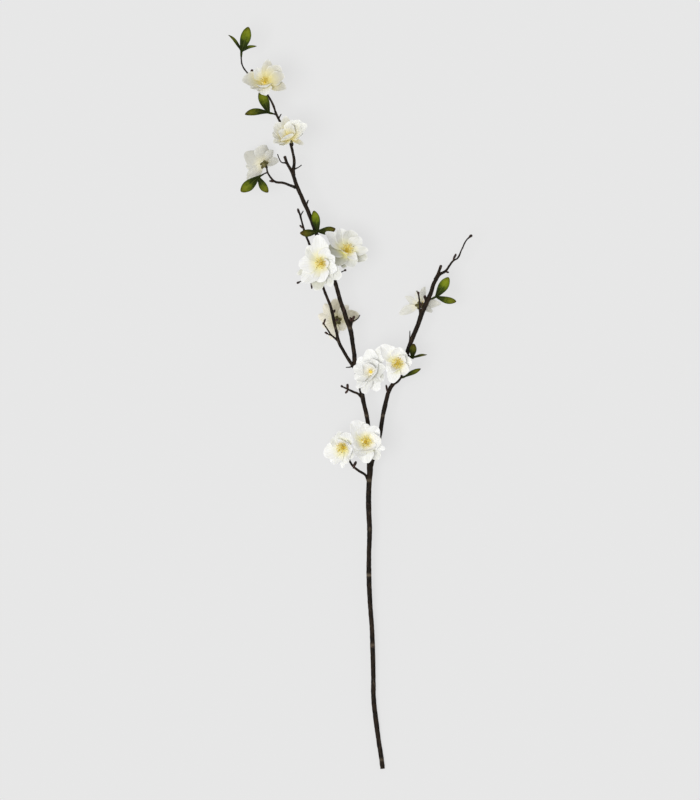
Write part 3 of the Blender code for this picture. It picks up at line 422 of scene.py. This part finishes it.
def joined(name, things):
    """The objects as one, with its place in its mesh."""
    select_only(*things)
    if len(things) > 1:
        bpy.ops.object.join()
    made = bpy.context.view_layer.objects.active
    made.name = made.data.name = name
    bpy.ops.object.transform_apply(location=True, rotation=True, scale=True)
    return made


def apply_modifiers(thing):
    select_only(thing)
    for modifier in list(thing.modifiers):
        bpy.ops.object.modifier_apply(modifier=modifier.name)


def points_of(thing):
    points = np.empty(len(thing.data.vertices) * 3, np.float32)
    thing.data.vertices.foreach_get("co", points)
    return points.reshape(-1, 3)


def set_points(thing, points):
    thing.data.vertices.foreach_set("co", np.ascontiguousarray(points, np.float32).ravel())
    thing.data.update()


def set_attribute(thing, name, values):
    """A number for each point, which the materials read by its name."""
    layer = thing.data.attributes.new(name, "FLOAT", "POINT")
    layer.data.foreach_set("value", np.ascontiguousarray(values, np.float32))


def paint(thing, *materials):
    for material in materials:
        thing.data.materials.append(material)


def keep_above_surface(thing):
    """Cloth and wood that would reach below the surface lie flat on it."""
    points = points_of(thing)
    points[:, 2] = np.maximum(points[:, 2], 0)
    set_points(thing, points)


def hand_over(piece, node, smooth=50):
    """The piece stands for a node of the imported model, smooth but for edges sharper than an angle."""
    bpy.ops.object.shade_smooth_by_angle(angle=math.radians(smooth))
    bpy.ops.object.select_all(action="DESELECT")
    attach(piece, "root")
    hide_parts(node)


# Shader parts.


def opaque(value):
    """A colour with its alpha. A socket or a number stays as it is."""
    return (*value, 1) if isinstance(value, tuple) else value


def shader_node(tree, kind, inputs=(), **settings):
    """A node with its settings, and its inputs as values or as sockets to link from."""
    made = tree.nodes.new(kind)
    for name, value in settings.items():
        setattr(made, name, value)
    for name, value in dict(inputs).items():
        if isinstance(value, bpy.types.NodeSocket):
            tree.links.new(value, made.inputs[name])
        else:
            made.inputs[name].default_value = value
    return made


def ramp(tree, factor, stops):
    """A colour ramp over a factor, by its (position, colour) stops."""
    made = shader_node(tree, "ShaderNodeValToRGB", {"Fac": factor})
    band = made.color_ramp
    while len(band.elements) < len(stops):
        band.elements.new(1.0)
    for element, (position, colour) in zip(band.elements, stops):
        element.position = position
        element.color = opaque(colour)
    return made.outputs["Color"]


def mix(tree, factor, a, b):
    """Two colours mixed by a factor."""
    inputs = {0: factor, 6: opaque(a), 7: opaque(b)}
    return shader_node(tree, "ShaderNodeMix", inputs, data_type="RGBA").outputs[2]


def maths(tree, operation, a, b=0.0, clamp=False):
    made = shader_node(tree, "ShaderNodeMath", {0: a, 1: b}, operation=operation, use_clamp=clamp)
    return made.outputs[0]


def times(tree, a, b, clamp=False):
    return maths(tree, "MULTIPLY", a, b, clamp)


def plus(tree, a, b, clamp=False):
    return maths(tree, "ADD", a, b, clamp)


def minus(tree, a, b, clamp=False):
    return maths(tree, "SUBTRACT", a, b, clamp)


def power(tree, a, b):
    return maths(tree, "POWER", a, b)


def noise(tree, place, scale, detail, roughness=0.55, distortion=0.0):
    inputs = {
        "Vector": place, "Scale": scale, "Detail": detail, "Roughness": roughness,
        "Distortion": distortion,
    }
    return shader_node(tree, "ShaderNodeTexNoise", inputs).outputs["Fac"]


def place_in_object(tree):
    return shader_node(tree, "ShaderNodeTexCoord").outputs["Object"]


def place_on_cloth(tree):
    """A point's place on its blade as one socket, and its shares across and along as X and Y."""
    uv = shader_node(tree, "ShaderNodeUVMap", uv_map="UVMap").outputs["UV"]
    return uv, shader_node(tree, "ShaderNodeSeparateXYZ", {"Vector": uv}).outputs


def stretched(tree, place, share):
    """A place for a noise that is drawn out along Y."""
    return shader_node(tree, "ShaderNodeMapping", {"Vector": place, "Scale": (1, share, 1)}).outputs["Vector"]


def attribute(tree, name):
    return shader_node(tree, "ShaderNodeAttribute", attribute_name=name).outputs["Fac"]


def group(name, inputs):
    """A node group for a colour and a height, with its input and output sockets still to be linked."""
    tree = bpy.data.node_groups.new(name, "ShaderNodeTree")
    for socket, value in dict(inputs).items():
        kind = "NodeSocketColor" if isinstance(value, tuple) else "NodeSocketFloat"
        made = tree.interface.new_socket(socket, in_out="INPUT", socket_type=kind)
        made.default_value = opaque(value)
    for socket, kind in (("Color", "NodeSocketColor"), ("Height", "NodeSocketFloat")):
        tree.interface.new_socket(socket, in_out="OUTPUT", socket_type=kind)
    return tree, tree.nodes.new("NodeGroupInput").outputs, tree.nodes.new("NodeGroupOutput").inputs


def use_group(tree, kind, inputs):
    """A group's outputs in a material, for its inputs by name."""
    given = {name: opaque(value) for name, value in dict(inputs).items()}
    return shader_node(tree, "ShaderNodeGroup", given, node_tree=kind).outputs


def finish(name, roughness, **sockets):
    """A material with a Principled shader, and the values that are the same all over it."""
    made = bpy.data.materials.new(name)
    made.use_nodes = True
    tree = made.node_tree
    shader = tree.nodes["Principled BSDF"]
    shader.inputs["Roughness"].default_value = roughness
    for socket, value in sockets.items():
        shader.inputs[socket.replace("_", " ")].default_value = value
    return made, tree, shader


def set_colour(tree, shader, colour):
    tree.links.new(colour, shader.inputs["Base Color"])


def bump(tree, shader, height, strength, depth):
    inputs = {"Height": height, "Strength": strength, "Distance": depth * MM}
    made = shader_node(tree, "ShaderNodeBump", inputs)
    tree.links.new(made.outputs["Normal"], shader.inputs["Normal"])


def petal_cloth_group():
    """Pressed cloth for a petal: a yellow throat, fine pleats from the root, soft creases, a rim and painted
    shade.
    """
    tree, given, out = group("Petal cloth", zip(CLOTH_PARTS, CLOTHS["white"]))
    uv, parts = place_on_cloth(tree)
    place = place_in_object(tree)
    blotch = noise(tree, place, 160, 2)
    # The throat fades out along the petal, unevenly.
    shift = times(tree, minus(tree, blotch, 0.5), 0.16)
    reach = maths(tree, "DIVIDE", plus(tree, parts["Y"], shift), given["Throat reach"])
    throat = power(tree, minus(tree, 1.0, reach, clamp=True), 1.2)
    # The cloth is greyer by the petal's painted shade and random greying, in blotches, and by painted
    # shade down in its pleats.
    pleats = noise(tree, stretched(tree, uv, 0.06), 30, 2)
    pleat_shade = times(tree, minus(tree, 0.5, pleats), 2.2, clamp=True)
    greyed = times(tree, attribute(tree, "painted_shade_and_tone"), plus(tree, blotch, 0.4))
    cloth = mix(tree, plus(tree, greyed, pleat_shade, clamp=True), given["Cloth"], given["Shade"])
    # The rim runs along both sides and the tip.
    across = maths(tree, "ABSOLUTE", minus(tree, times(tree, parts["X"], 2.0), 1.0))
    edge = maths(tree, "MAXIMUM", power(tree, across, 9.0), power(tree, parts["Y"], 14.0))
    rimmed = mix(tree, times(tree, edge, 0.7), cloth, given["Rim"])
    tree.links.new(mix(tree, throat, rimmed, given["Throat"]), out["Color"])
    creases = noise(tree, place, 420, 2)
    tree.links.new(plus(tree, pleats, times(tree, creases, 0.35)), out["Height"])
    return tree


def petal_finish(name, cloth_group):
    made, tree, shader = finish(
        "petal " + name, 0.7, Subsurface_Weight=0.12, Subsurface_Radius=(1.0, 0.95, 0.8),
        Subsurface_Scale=0.0015, Specular_IOR_Level=0.25,
    )
    pattern = use_group(tree, cloth_group, zip(CLOTH_PARTS, CLOTHS[name]))
    set_colour(tree, shader, pattern["Color"])
    bump(tree, shader, pattern["Height"], 0.45, 0.5)
    return made


def bark_group():
    """Moulded bark: fine lengthwise grain over dark and pale patches."""
    tree, given, out = group("Bark grain", BARK)
    place = place_in_object(tree)
    long_way = stretched(tree, place, 0.22)
    grain = noise(tree, long_way, 950, 4, 0.65)
    patch = noise(tree, place, 110, 3)
    flecks = noise(tree, long_way, 420, 2, 0.5, 0.6)
    share = plus(tree, times(tree, grain, 0.55), times(tree, patch, 0.55))
    inputs = {"Value": share, "From Min": 0.42, "From Max": 0.72}
    softened = shader_node(tree, "ShaderNodeMapRange", inputs, interpolation_type="SMOOTHSTEP")
    wood = mix(tree, softened.outputs["Result"], given["Dark"], given["Mid"])
    pale = times(tree, minus(tree, flecks, 0.60), 5.0, clamp=True)
    tree.links.new(mix(tree, pale, wood, given["Pale"]), out["Color"])
    tree.links.new(plus(tree, grain, times(tree, flecks, 0.6)), out["Height"])
    return tree


def bark_finish(grain):
    made, tree, shader = finish("bark", 0.6, Specular_IOR_Level=0.1)
    pattern = use_group(tree, grain, BARK)
    set_colour(tree, shader, mix(tree, attribute(tree, "scar"), pattern["Color"], SCAR_COLOUR))
    bump(tree, shader, pattern["Height"], 0.6, 0.5)
    return made


def bud_finish(grain):
    made, tree, shader = finish("bud scales", 0.55, Specular_IOR_Level=0.25)
    pattern = use_group(tree, grain, BUD_SCALES)
    set_colour(tree, shader, pattern["Color"])
    bump(tree, shader, pattern["Height"], 0.5, 0.4)
    return made


def blotchy_finish(name):
    roughness, shine, (scale, detail), stops, raised = BLOTCHY[name]
    made, tree, shader = finish(name, roughness, Specular_IOR_Level=shine)
    place = place_in_object(tree)
    set_colour(tree, shader, ramp(tree, noise(tree, place, scale, detail), stops))
    if raised:
        fine_scale, fine_detail, strength, depth = raised
        bump(tree, shader, noise(tree, place, fine_scale, fine_detail), strength, depth)
    return made


def leaf_finish():
    """Printed cloth: near-black green at the root and rims, yellow-green in the middle, brown ends."""
    made, tree, shader = finish("leaf cloth", 0.7, Specular_IOR_Level=0.06)
    _, parts = place_on_cloth(tree)
    blotch = noise(tree, place_in_object(tree), 260, 3)
    across = maths(tree, "ABSOLUTE", minus(tree, parts["X"], 0.5))
    along = plus(tree, parts["Y"], times(tree, minus(tree, blotch, 0.5), 0.5))
    ends = times(tree, power(tree, parts["Y"], 6.0), 0.45)
    browned = plus(tree, ends, times(tree, attribute(tree, "brown"), 0.85), clamp=True)
    printed = mix(tree, browned, ramp(tree, along, LEAF_GREENS), ramp(tree, along, LEAF_BROWNS))
    rims = power(tree, times(tree, across, 2.0), 3.0)
    rimmed = mix(tree, times(tree, rims, 0.8), printed, LEAF_RIM)
    # The side veins lie where a sine crosses zero, slanting out from the rib towards the tip.
    slant = plus(tree, times(tree, parts["Y"], 60.0), times(tree, across, -46.0))
    veins = power(tree, maths(tree, "ABSOLUTE", maths(tree, "SINE", slant)), 0.35)
    veined = mix(tree, times(tree, minus(tree, 1.0, veins), 0.35), rimmed, LEAF_VEIN)
    rib = minus(tree, 1.0, times(tree, across, 30.0), clamp=True)
    set_colour(tree, shader, mix(tree, times(tree, rib, 0.4), veined, LEAF_RIB))
    bump(tree, shader, plus(tree, veins, times(tree, rib, -1.2)), 0.4, 0.3)
    return made


# The wood.


def limb(route, bevel, steps):
    """A round closed limb along a route."""
    curve = bpy.data.curves.new("limb", "CURVE")
    curve.dimensions = "3D"
    curve.bevel_depth = MM
    curve.bevel_resolution = bevel
    curve.resolution_u = steps
    curve.use_fill_caps = True
    spline = curve.splines.new("BEZIER")
    spline.bezier_points.add(len(route) - 1)
    for point, (x, y, z, thick) in zip(spline.bezier_points, route):
        point.co = Vector((x, y, z)) * MM
        point.handle_left_type = point.handle_right_type = "AUTO"
        point.radius = thick / 2
    made = bpy.data.objects.new("limb", curve)
    bpy.context.scene.collection.objects.link(made)
    select_only(made)
    bpy.ops.object.convert(target="MESH")
    return bpy.context.view_layer.objects.active


def with_collar(route):
    """The route with a swelling where it leaves the wood below."""
    first, second = Vector(route[0][:3]), Vector(route[1][:3])
    thick = route[0][3]
    out = min(thick * COLLAR_LENGTH / (second - first).length, 0.6)
    return [(*first, thick * COLLAR_GIRTH), (*first.lerp(second, out), thick), *route[1:]]


def relief(thing, size, strength):
    """Uneven bark, raised from the surface by a noise."""
    texture = bpy.data.textures.new("bark relief", "CLOUDS")
    texture.noise_scale = size * MM
    texture.noise_depth = 2
    modifier = thing.modifiers.new("Relief", "DISPLACE")
    modifier.texture = texture
    modifier.strength = strength * MM
    modifier.mid_level = 0.5
    apply_modifiers(thing)


def bud(foot, tip, thick):
    """A closed bud: a knob on a narrow foot, widest near its tip, with the ridges of three scales."""
    foot, tip = Vector(foot), Vector(tip)
    bpy.ops.object.select_all(action="DESELECT")
    bpy.ops.mesh.primitive_uv_sphere_add(segments=12, ring_count=10, radius=0.5)
    made = bpy.context.object
    points = points_of(made)
    along = points[:, 2] + 0.5
    ridge = 1 + 0.10 * np.sin(3 * np.arctan2(points[:, 1], points[:, 0]) + 5 * along)
    girth = (0.62 + 0.55 * along) * ridge
    points[:, 0] *= girth * thick * MM
    points[:, 1] *= girth * thick * MM
    points[:, 2] = along * (tip - foot).length * MM
    set_points(made, points)
    turn = (tip - foot).to_track_quat("Z", "Y").to_matrix().to_4x4()
    made.data.transform(Matrix.Translation(foot * MM) @ turn)
    return made


def way_of(name):
    return Vector(BLOOMS[name][1]).normalized()


def hub_of(name):
    """The middle of a bloom's hub, in millimetres."""
    x, y, z = BLOOMS[name][0]
    if z is None:
        way = way_of(name)
        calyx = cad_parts["calyx_" + name].data
        foot = min(way.dot(vert.co) for vert in calyx.vertices) / MM
        z = (foot + CUP_LENGTH + GAP - way.x * x - way.y * y) / way.z
    return Vector((x, y, z))


def spur_of(name):
    """The route of the wood to a bloom, ending square on the foot of its calyx."""
    way = way_of(name)
    end = hub_of(name) - way * SEAT
    return SPURS[name] + [(*(end - way * SPUR_NECK), SPUR_NECK_THICK), (*end, SPUR_THICK)]


def lead_of(name):
    """The route of the wood to a leaf set, ending square on the foot of its sheath."""
    foot, head, lead, _ = LEAF_SETS[name]
    foot = Vector(foot)
    way = (Vector(head) - foot).normalized()
    return lead + [(*(foot - way * LEAD_NECK), LEAD_THICK), (*(foot - way * GAP), LEAD_THICK)]


def make_branch(bark, bud_scales):
    stem = limb(MAIN_STEM + lead_of("tip"), bevel=7, steps=14)
    limbs = [limb(route, bevel=5, steps=12) for route in (RIGHT_BRANCH, with_collar(SIDE_BRANCH))]
    thick = joined("limbs", [stem, *limbs])
    relief(thick, size=5.0, strength=0.7)
    relief(thick, size=1.6, strength=0.22)
    spurs = [spur_of(name) for name in BLOOMS]
    leads = [lead_of(name) for name in LEAF_SETS if name != "tip"]
    routes = TWIGS + spurs + leads
    twigs = joined("twigs", [limb(with_collar(route), bevel=3, steps=7) for route in routes])
    relief(twigs, size=2.2, strength=0.3)
    wood = joined("wood", [thick, twigs])
    paint(wood, bark)
    wood.data.polygons.foreach_set("material_index", np.zeros(len(wood.data.polygons), np.int32))
    buds = joined("buds", [bud(*row) for row in BUDS])
    relief(buds, size=1.2, strength=0.2)
    paint(buds, bud_scales)
    branch = joined("branch_bark", [wood, buds])
    keep_above_surface(branch)
    points = points_of(branch) / MM
    near_stem = np.abs(points[:, 0]) < SCAR_REACH
    scar = np.zeros(len(points))
    for place, pale in SCARS:
        scar = np.maximum(scar, pale * np.exp(-(((points[:, 1] - place) / SCAR_WIDTH) ** 2)) * near_stem)
    set_attribute(branch, "scar", scar)
    hand_over(branch, "branch")


# The blooms.


def placing_of(name):
    """The matrix from a bloom's own axes, in metres, to its place on the branch."""
    way = way_of(name)
    side = (Vector((1, 0, 0)) - way * way.x).normalized()
    turn = Matrix((side, way.cross(side), way)).transposed().to_4x4()
    return Matrix.Translation(hub_of(name) * MM) @ turn


def grid(rows, columns):
    """A flat cloth grid, with its shares across (-1 to 1) and along (0 to 1) for each point."""
    bpy.ops.object.select_all(action="DESELECT")
    bpy.ops.mesh.primitive_grid_add(x_subdivisions=columns, y_subdivisions=rows, size=2)
    made = bpy.context.object
    points = points_of(made)
    return made, points[:, 0].copy(), (points[:, 1] + 1) / 2


def soft_noise(chance, across, along, waves):
    """A smooth uneven field over a blade, between about -1 and 1."""
    field = np.zeros_like(across)
    for _ in range(waves):
        a, b = chance.uniform(-2.6, 2.6), chance.uniform(1.5, 5.5)
        field += np.sin(a * across + b * along + chance.uniform(0, 2 * math.pi))
    return field / math.sqrt(waves)


def width_share(row, outline):
    """How wide a blade is along its length, as a share of its width."""
    start, stretch, shift = outline
    return np.sin(math.pi * (start + stretch * row**shift))


def bent_path(root, length, rise_at_root, rise_at_tip, along):
    """How far out and up a bending blade is, and its slope, at each share of its length."""
    start, change = math.radians(rise_at_root), math.radians(rise_at_tip - rise_at_root)
    slope = start + change * along
    out = root[0] + length * (np.sin(slope) - math.sin(start)) / change
    up = root[1] + length * (math.cos(start) - np.cos(slope)) / change
    return out, up, slope


def thicken(thing, thickness, back=0):
    """Gives a blade its thickness, under its face. The back's material is so many slots on."""
    solidify = thing.modifiers.new("Cloth", "SOLIDIFY")
    solidify.thickness = thickness * MM
    solidify.offset = -1
    solidify.material_offset = back
    apply_modifiers(thing)


def petal(angle, length, width, rise_at_root, rise_at_tip, painted_shade_and_tone, chance):
    """One ruffled petal in the bloom's own axes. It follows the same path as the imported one."""
    made, across, row = grid(PETAL_ROWS, PETAL_COLUMNS)
    side = np.abs(across)
    along = row * (1 - TIP_ROUNDING * side**TIP_CORNER * row)
    along *= 1 + TIP_RIPPLE * np.sin(across * chance.uniform(2, 4) + chance.uniform(0, 6)) * row**3
    out, up, slope = bent_path(PETAL_ROOT, length, rise_at_root, rise_at_tip, along)
    share = width_share(row, PETAL_OUTLINE)
    sideways = across * width * share / 2
    size = min(width / FULL_RUFFLE_WIDTH, 1)
    # The rim is an angle round the blade, and the edge is 0 in its middle and 1 on its sides and tip.
    rim = np.arctan2(across, (row - 0.35) * 1.3)
    edge = np.clip(np.maximum(side**2.2 * np.clip(row * 2.2, 0, 1), row**4), 0, 1)
    waves = np.sin(3 * rim + chance.uniform(0, 6)) + 0.5 * np.sin(7 * rim + chance.uniform(0, 6))
    lift = PETAL_CAMBER * width * share * across**2
    lift += RUFFLE * size * edge * waves * chance.uniform(0.6, 1.25)
    lift += CRUMPLE * size * soft_noise(chance, across, row, 4) * np.clip(row * 2, 0, 1)
    curled = np.clip((along - CURL_START) / (1 - CURL_START), 0, 1) ** 2
    lift += CURL * size * chance.uniform(-1, 0.9) * curled
    lean = math.radians(PETAL_ROLL)
    rolled_side = sideways * math.cos(lean) - lift * math.sin(lean)
    rolled_lift = sideways * math.sin(lean) + lift * math.cos(lean)
    out, up = out - rolled_lift * np.sin(slope), up + rolled_lift * np.cos(slope)
    set_points(made, np.stack([out, rolled_side, up], axis=1) * MM)
    # The petal's painted shade and its random greying, which its cloth reads.
    set_attribute(made, "painted_shade_and_tone", np.full(len(row), painted_shade_and_tone))
    thicken(made, PETAL_CLOTH, back=1)
    made.data.transform(Matrix.Rotation(math.radians(angle), 4, "Z"))
    return made


def petals_of(name):
    """A bloom's petals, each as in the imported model."""
    chance = random.Random(name + " cloth")
    greyed = SHADED.get(name, {})
    # Each petal's painted shade from the table above, with a little random greying on top.
    return [
        petal(*row, greyed.get(i, 0) + chance.uniform(0, 0.15), chance)
        for i, row in enumerate(PETALS[name])
    ]


def cone(low, high, bottom, top, sides=24):
    """A round frustum on the Z axis with softened rims, in metres from millimetres."""
    bpy.ops.object.select_all(action="DESELECT")
    bpy.ops.mesh.primitive_cone_add(
        vertices=sides,
        radius1=bottom * MM,
        radius2=top * MM,
        depth=(high - low) * MM,
        location=(0, 0, (low + high) / 2 * MM),
    )
    made = bpy.context.object
    bpy.ops.object.transform_apply(location=True, rotation=True, scale=True)
    bevel = made.modifiers.new("Soft rims", "BEVEL")
    bevel.width = min(bottom, top) * 0.3 * MM
    bevel.segments = 3
    bevel.limit_method = "ANGLE"
    apply_modifiers(made)
    return made


def make_petals(name, cloths):
    front = BLOOMS[name][4]
    back = front + " back" if front + " back" in cloths else "back"
    parts = petals_of(name)
    hub = cone(0, HUB_HEIGHT, HUB_FOOT, HUB_RADIUS)
    set_attribute(hub, "painted_shade_and_tone", np.zeros(len(hub.data.vertices)))
    for part in parts + [hub]:
        paint(part, cloths[front], cloths[back])
    bloom = joined("bloom_" + name, parts + [hub])
    bloom.data.transform(placing_of(name))
    keep_above_surface(bloom)
    hand_over(bloom, "petals_" + name, smooth=60)


def stamen(filament, anther):
    """One stamen, standing on the origin: a thin bowed stalk and the anther on it."""
    stalk = limb([(x, 0, z, thick) for x, z, thick in FILAMENT], bevel=0, steps=1)
    bpy.ops.object.select_all(action="DESELECT")
    bpy.ops.mesh.primitive_uv_sphere_add(segments=6, ring_count=5, radius=MM / 2, location=(0, 0, 0))
    head = bpy.context.object
    out, up, _ = FILAMENT[-1]
    head.scale = (ANTHER_WIDE, ANTHER_WIDE * 0.8, ANTHER_LONG)
    head.rotation_euler = (0, math.radians(ANTHER_LEAN), 0)
    head.location = (out * MM, 0, up * MM)
    for part in (stalk, head):
        paint(part, filament, anther)
    head.data.polygons.foreach_set("material_index", np.ones(len(head.data.polygons), np.int32))
    return joined("stamen", [stalk, head])


def make_stamens(name, model, filament, anther):
    """A dense tuft of stamens on the bloom's dome, more upright in its middle."""
    chance = random.Random(name + " tuft")
    size = BLOOMS[name][3]
    foot = HUB_HEIGHT + GAP
    dome = cone(foot, foot + DOME_HEIGHT, DOME_RADIUS, DOME_TOP, 16)
    paint(dome, filament, anther)
    parts = [dome]
    for count, base, lean in FILAMENTS:
        for i in range(count):
            around = 2 * math.pi * (i + chance.uniform(-0.3, 0.3)) / count
            tilt = math.radians(lean + chance.uniform(-5, 5))
            grown = chance.uniform(0.70, 1.02) * size
            one = model.copy()
            one.data = model.data.copy()
            bpy.context.scene.collection.objects.link(one)
            middle = foot + DOME_HEIGHT * 0.5
            place = Vector((base * math.cos(around), base * math.sin(around), middle)) * MM
            turn = Matrix.Rotation(around, 4, "Z") @ Matrix.Rotation(tilt, 4, "Y")
            bend = Matrix.Rotation(chance.uniform(-0.9, 0.9), 4, "Z")
            scale = Matrix.Diagonal((size, size, grown, 1))
            one.data.transform(Matrix.Translation(place) @ turn @ bend @ scale)
            parts.append(one)
    tuft = joined("tuft_" + name, parts)
    tuft.data.transform(placing_of(name))
    hand_over(tuft, "stamens_" + name)


def sepal(chance):
    """One sepal that droops from the cup's rim, along +X."""
    made, across, row = grid(SEPAL_ROWS, SEPAL_COLUMNS)
    out, up, _ = bent_path(SEPAL_ROOT, SEPAL_LENGTH, 0, -SEPAL_DROOP, row)
    sideways = across * SEPAL_WIDTH * width_share(row, SEPAL_OUTLINE) / 2
    lift = SEPAL_CAMBER * SEPAL_WIDTH * across**2 + SEPAL_CRUMPLE * soft_noise(chance, across, row, 3)
    set_points(made, np.stack([out, sideways, up - lift], axis=1) * MM)
    thicken(made, SEPAL_THICK)
    return made


def make_calyx(name, colour):
    chance = random.Random(name + " calyx")
    detail = random.Random(name + " sepals")
    first = BLOOMS[name][2] + 180 / SEPALS
    parts = [cone(-GAP - CUP_LENGTH, -GAP, CUP_FOOT, CUP_RADIUS, 20)]
    for i in range(SEPALS):
        uneven = chance.uniform(-SEPAL_UNEVEN_DEGREES, SEPAL_UNEVEN_DEGREES)
        one = sepal(detail)
        one.data.transform(Matrix.Rotation(math.radians(first + 360 * i / SEPALS + uneven), 4, "Z"))
        parts.append(one)
    calyx = joined("cup_" + name, parts)
    paint(calyx, colour)
    calyx.data.transform(placing_of(name))
    hand_over(calyx, "calyx_" + name)


# The leaves.


def leaf(root, tip, width, roll, arch, brown, chance):
    """A leaf from its root to its tip. With no roll its face is up."""
    made, across, row = grid(LEAF_ROWS, LEAF_COLUMNS)
    root, tip = Vector(root), Vector(tip)
    length = (tip - root).length
    share = width_share(row, LEAF_OUTLINE) * np.sqrt(np.clip((1.03 - row**5), 0, 1))
    lift = arch * np.sin(math.pi * row) + LEAF_CAMBER * width * share * np.abs(across) ** 1.3
    lift += LEAF_CRUMPLE * soft_noise(chance, across, row, 3) * np.abs(across)
    lift += LEAF_WAVE * np.sin(9 * row + chance.uniform(0, 6)) * across**2
    sideways = across * width * share / 2
    set_points(made, np.stack([length * row, sideways, lift], axis=1) * MM)
    set_attribute(made, "brown", np.full(len(row), brown))
    thicken(made, LEAF_CLOTH)
    along = (tip - root).normalized()
    side = UP.cross(along).normalized()
    axes = Matrix((along, side, along.cross(side))).transposed().to_4x4()
    turned = Matrix.Translation(root * MM) @ axes @ Matrix.Rotation(math.radians(roll), 4, "X")
    made.data.transform(turned)
    return made


def make_leaf_set(name, cloth):
    foot, head, _, leaves = LEAF_SETS[name]
    foot, head = Vector(foot), Vector(head)
    chance = random.Random(name + " leaves")
    sheath = limb([(*foot.lerp(head, along), thick) for along, thick in SHEATH], bevel=4, steps=5)
    # The sheath has the colour of a leaf's root, so all its faces read one place near it.
    layer = sheath.data.uv_layers.new(name="UVMap")
    layer.data.foreach_set("uv", np.tile((0.3, 0.05), len(layer.data)))
    set_attribute(sheath, "brown", np.full(len(sheath.data.vertices), SHEATH_BROWN))
    root = head - (head - foot).normalized() * LEAF_SUNK
    parts = [sheath] + [leaf(root, *row, chance) for row in leaves]
    leaf_set = joined("leaf_set_" + name, parts)
    leaf_set.data.materials.clear()
    paint(leaf_set, cloth)
    hand_over(leaf_set, "leaves_" + name)


# The stage.


def make_floor():
    bpy.ops.object.select_all(action="DESELECT")
    bpy.ops.mesh.primitive_plane_add(size=PAPER_WIDTH)
    floor = bpy.context.object
    floor.name = "floor"
    paper, _, _ = finish(
        "floor paper", 0.9, Base_Color=(PAPER_GREY, PAPER_GREY, PAPER_GREY, 1), Specular_IOR_Level=0.0,
        Emission_Color=(1, 1, 1, 1), Emission_Strength=PAPER_GLOW,
    )
    paint(floor, paper)


def make_light():
    world = bpy.data.worlds.new("soft studio")
    world.use_nodes = True
    sky = world.node_tree.nodes["Background"].inputs
    sky["Color"].default_value = (1, 1, 1, 1)
    sky["Strength"].default_value = SKY_STRENGTH
    bpy.context.scene.world = world
    key = bpy.data.lights.new("key", "SUN")
    key.energy = KEY_STRENGTH
    key.angle = math.radians(KEY_SOFTNESS)
    lamp = bpy.data.objects.new("key", key)
    bpy.context.scene.collection.objects.link(lamp)
    lamp.rotation_euler = Vector(KEY_WAY).to_track_quat("-Z", "Y").to_euler()


def make_camera():
    lens = bpy.data.cameras.new("camera")
    lens.lens = VIEW_LENS
    lens.sensor_width = VIEW_SENSOR
    lens.clip_end = VIEW_REACH
    camera = bpy.data.objects.new("camera", lens)
    bpy.context.scene.collection.objects.link(camera)
    away = VIEW_HEIGHT * VIEW_LENS / VIEW_SENSOR
    camera.location = Vector((*VIEW_CENTRE, VIEW_LEVEL + away)) * MM
    bpy.context.scene.camera = camera


def main():
    bpy.context.scene.view_settings.view_transform = "Standard"
    make_camera()
    make_light()
    make_floor()
    cloth_group, grain = petal_cloth_group(), bark_group()
    cloths = {name: petal_finish(name, cloth_group) for name in CLOTHS}
    make_branch(bark_finish(grain), bud_finish(grain))
    filament, anther, calyx = [blotchy_finish(name) for name in ("filament", "anther", "calyx")]
    model = stamen(filament, anther)
    for name in BLOOMS:
        make_petals(name, cloths)
        make_stamens(name, model, filament, anther)
        make_calyx(name, calyx)
    bpy.data.objects.remove(model)
    leaf_cloth = leaf_finish()
    for name in LEAF_SETS:
        make_leaf_set(name, leaf_cloth)


main()
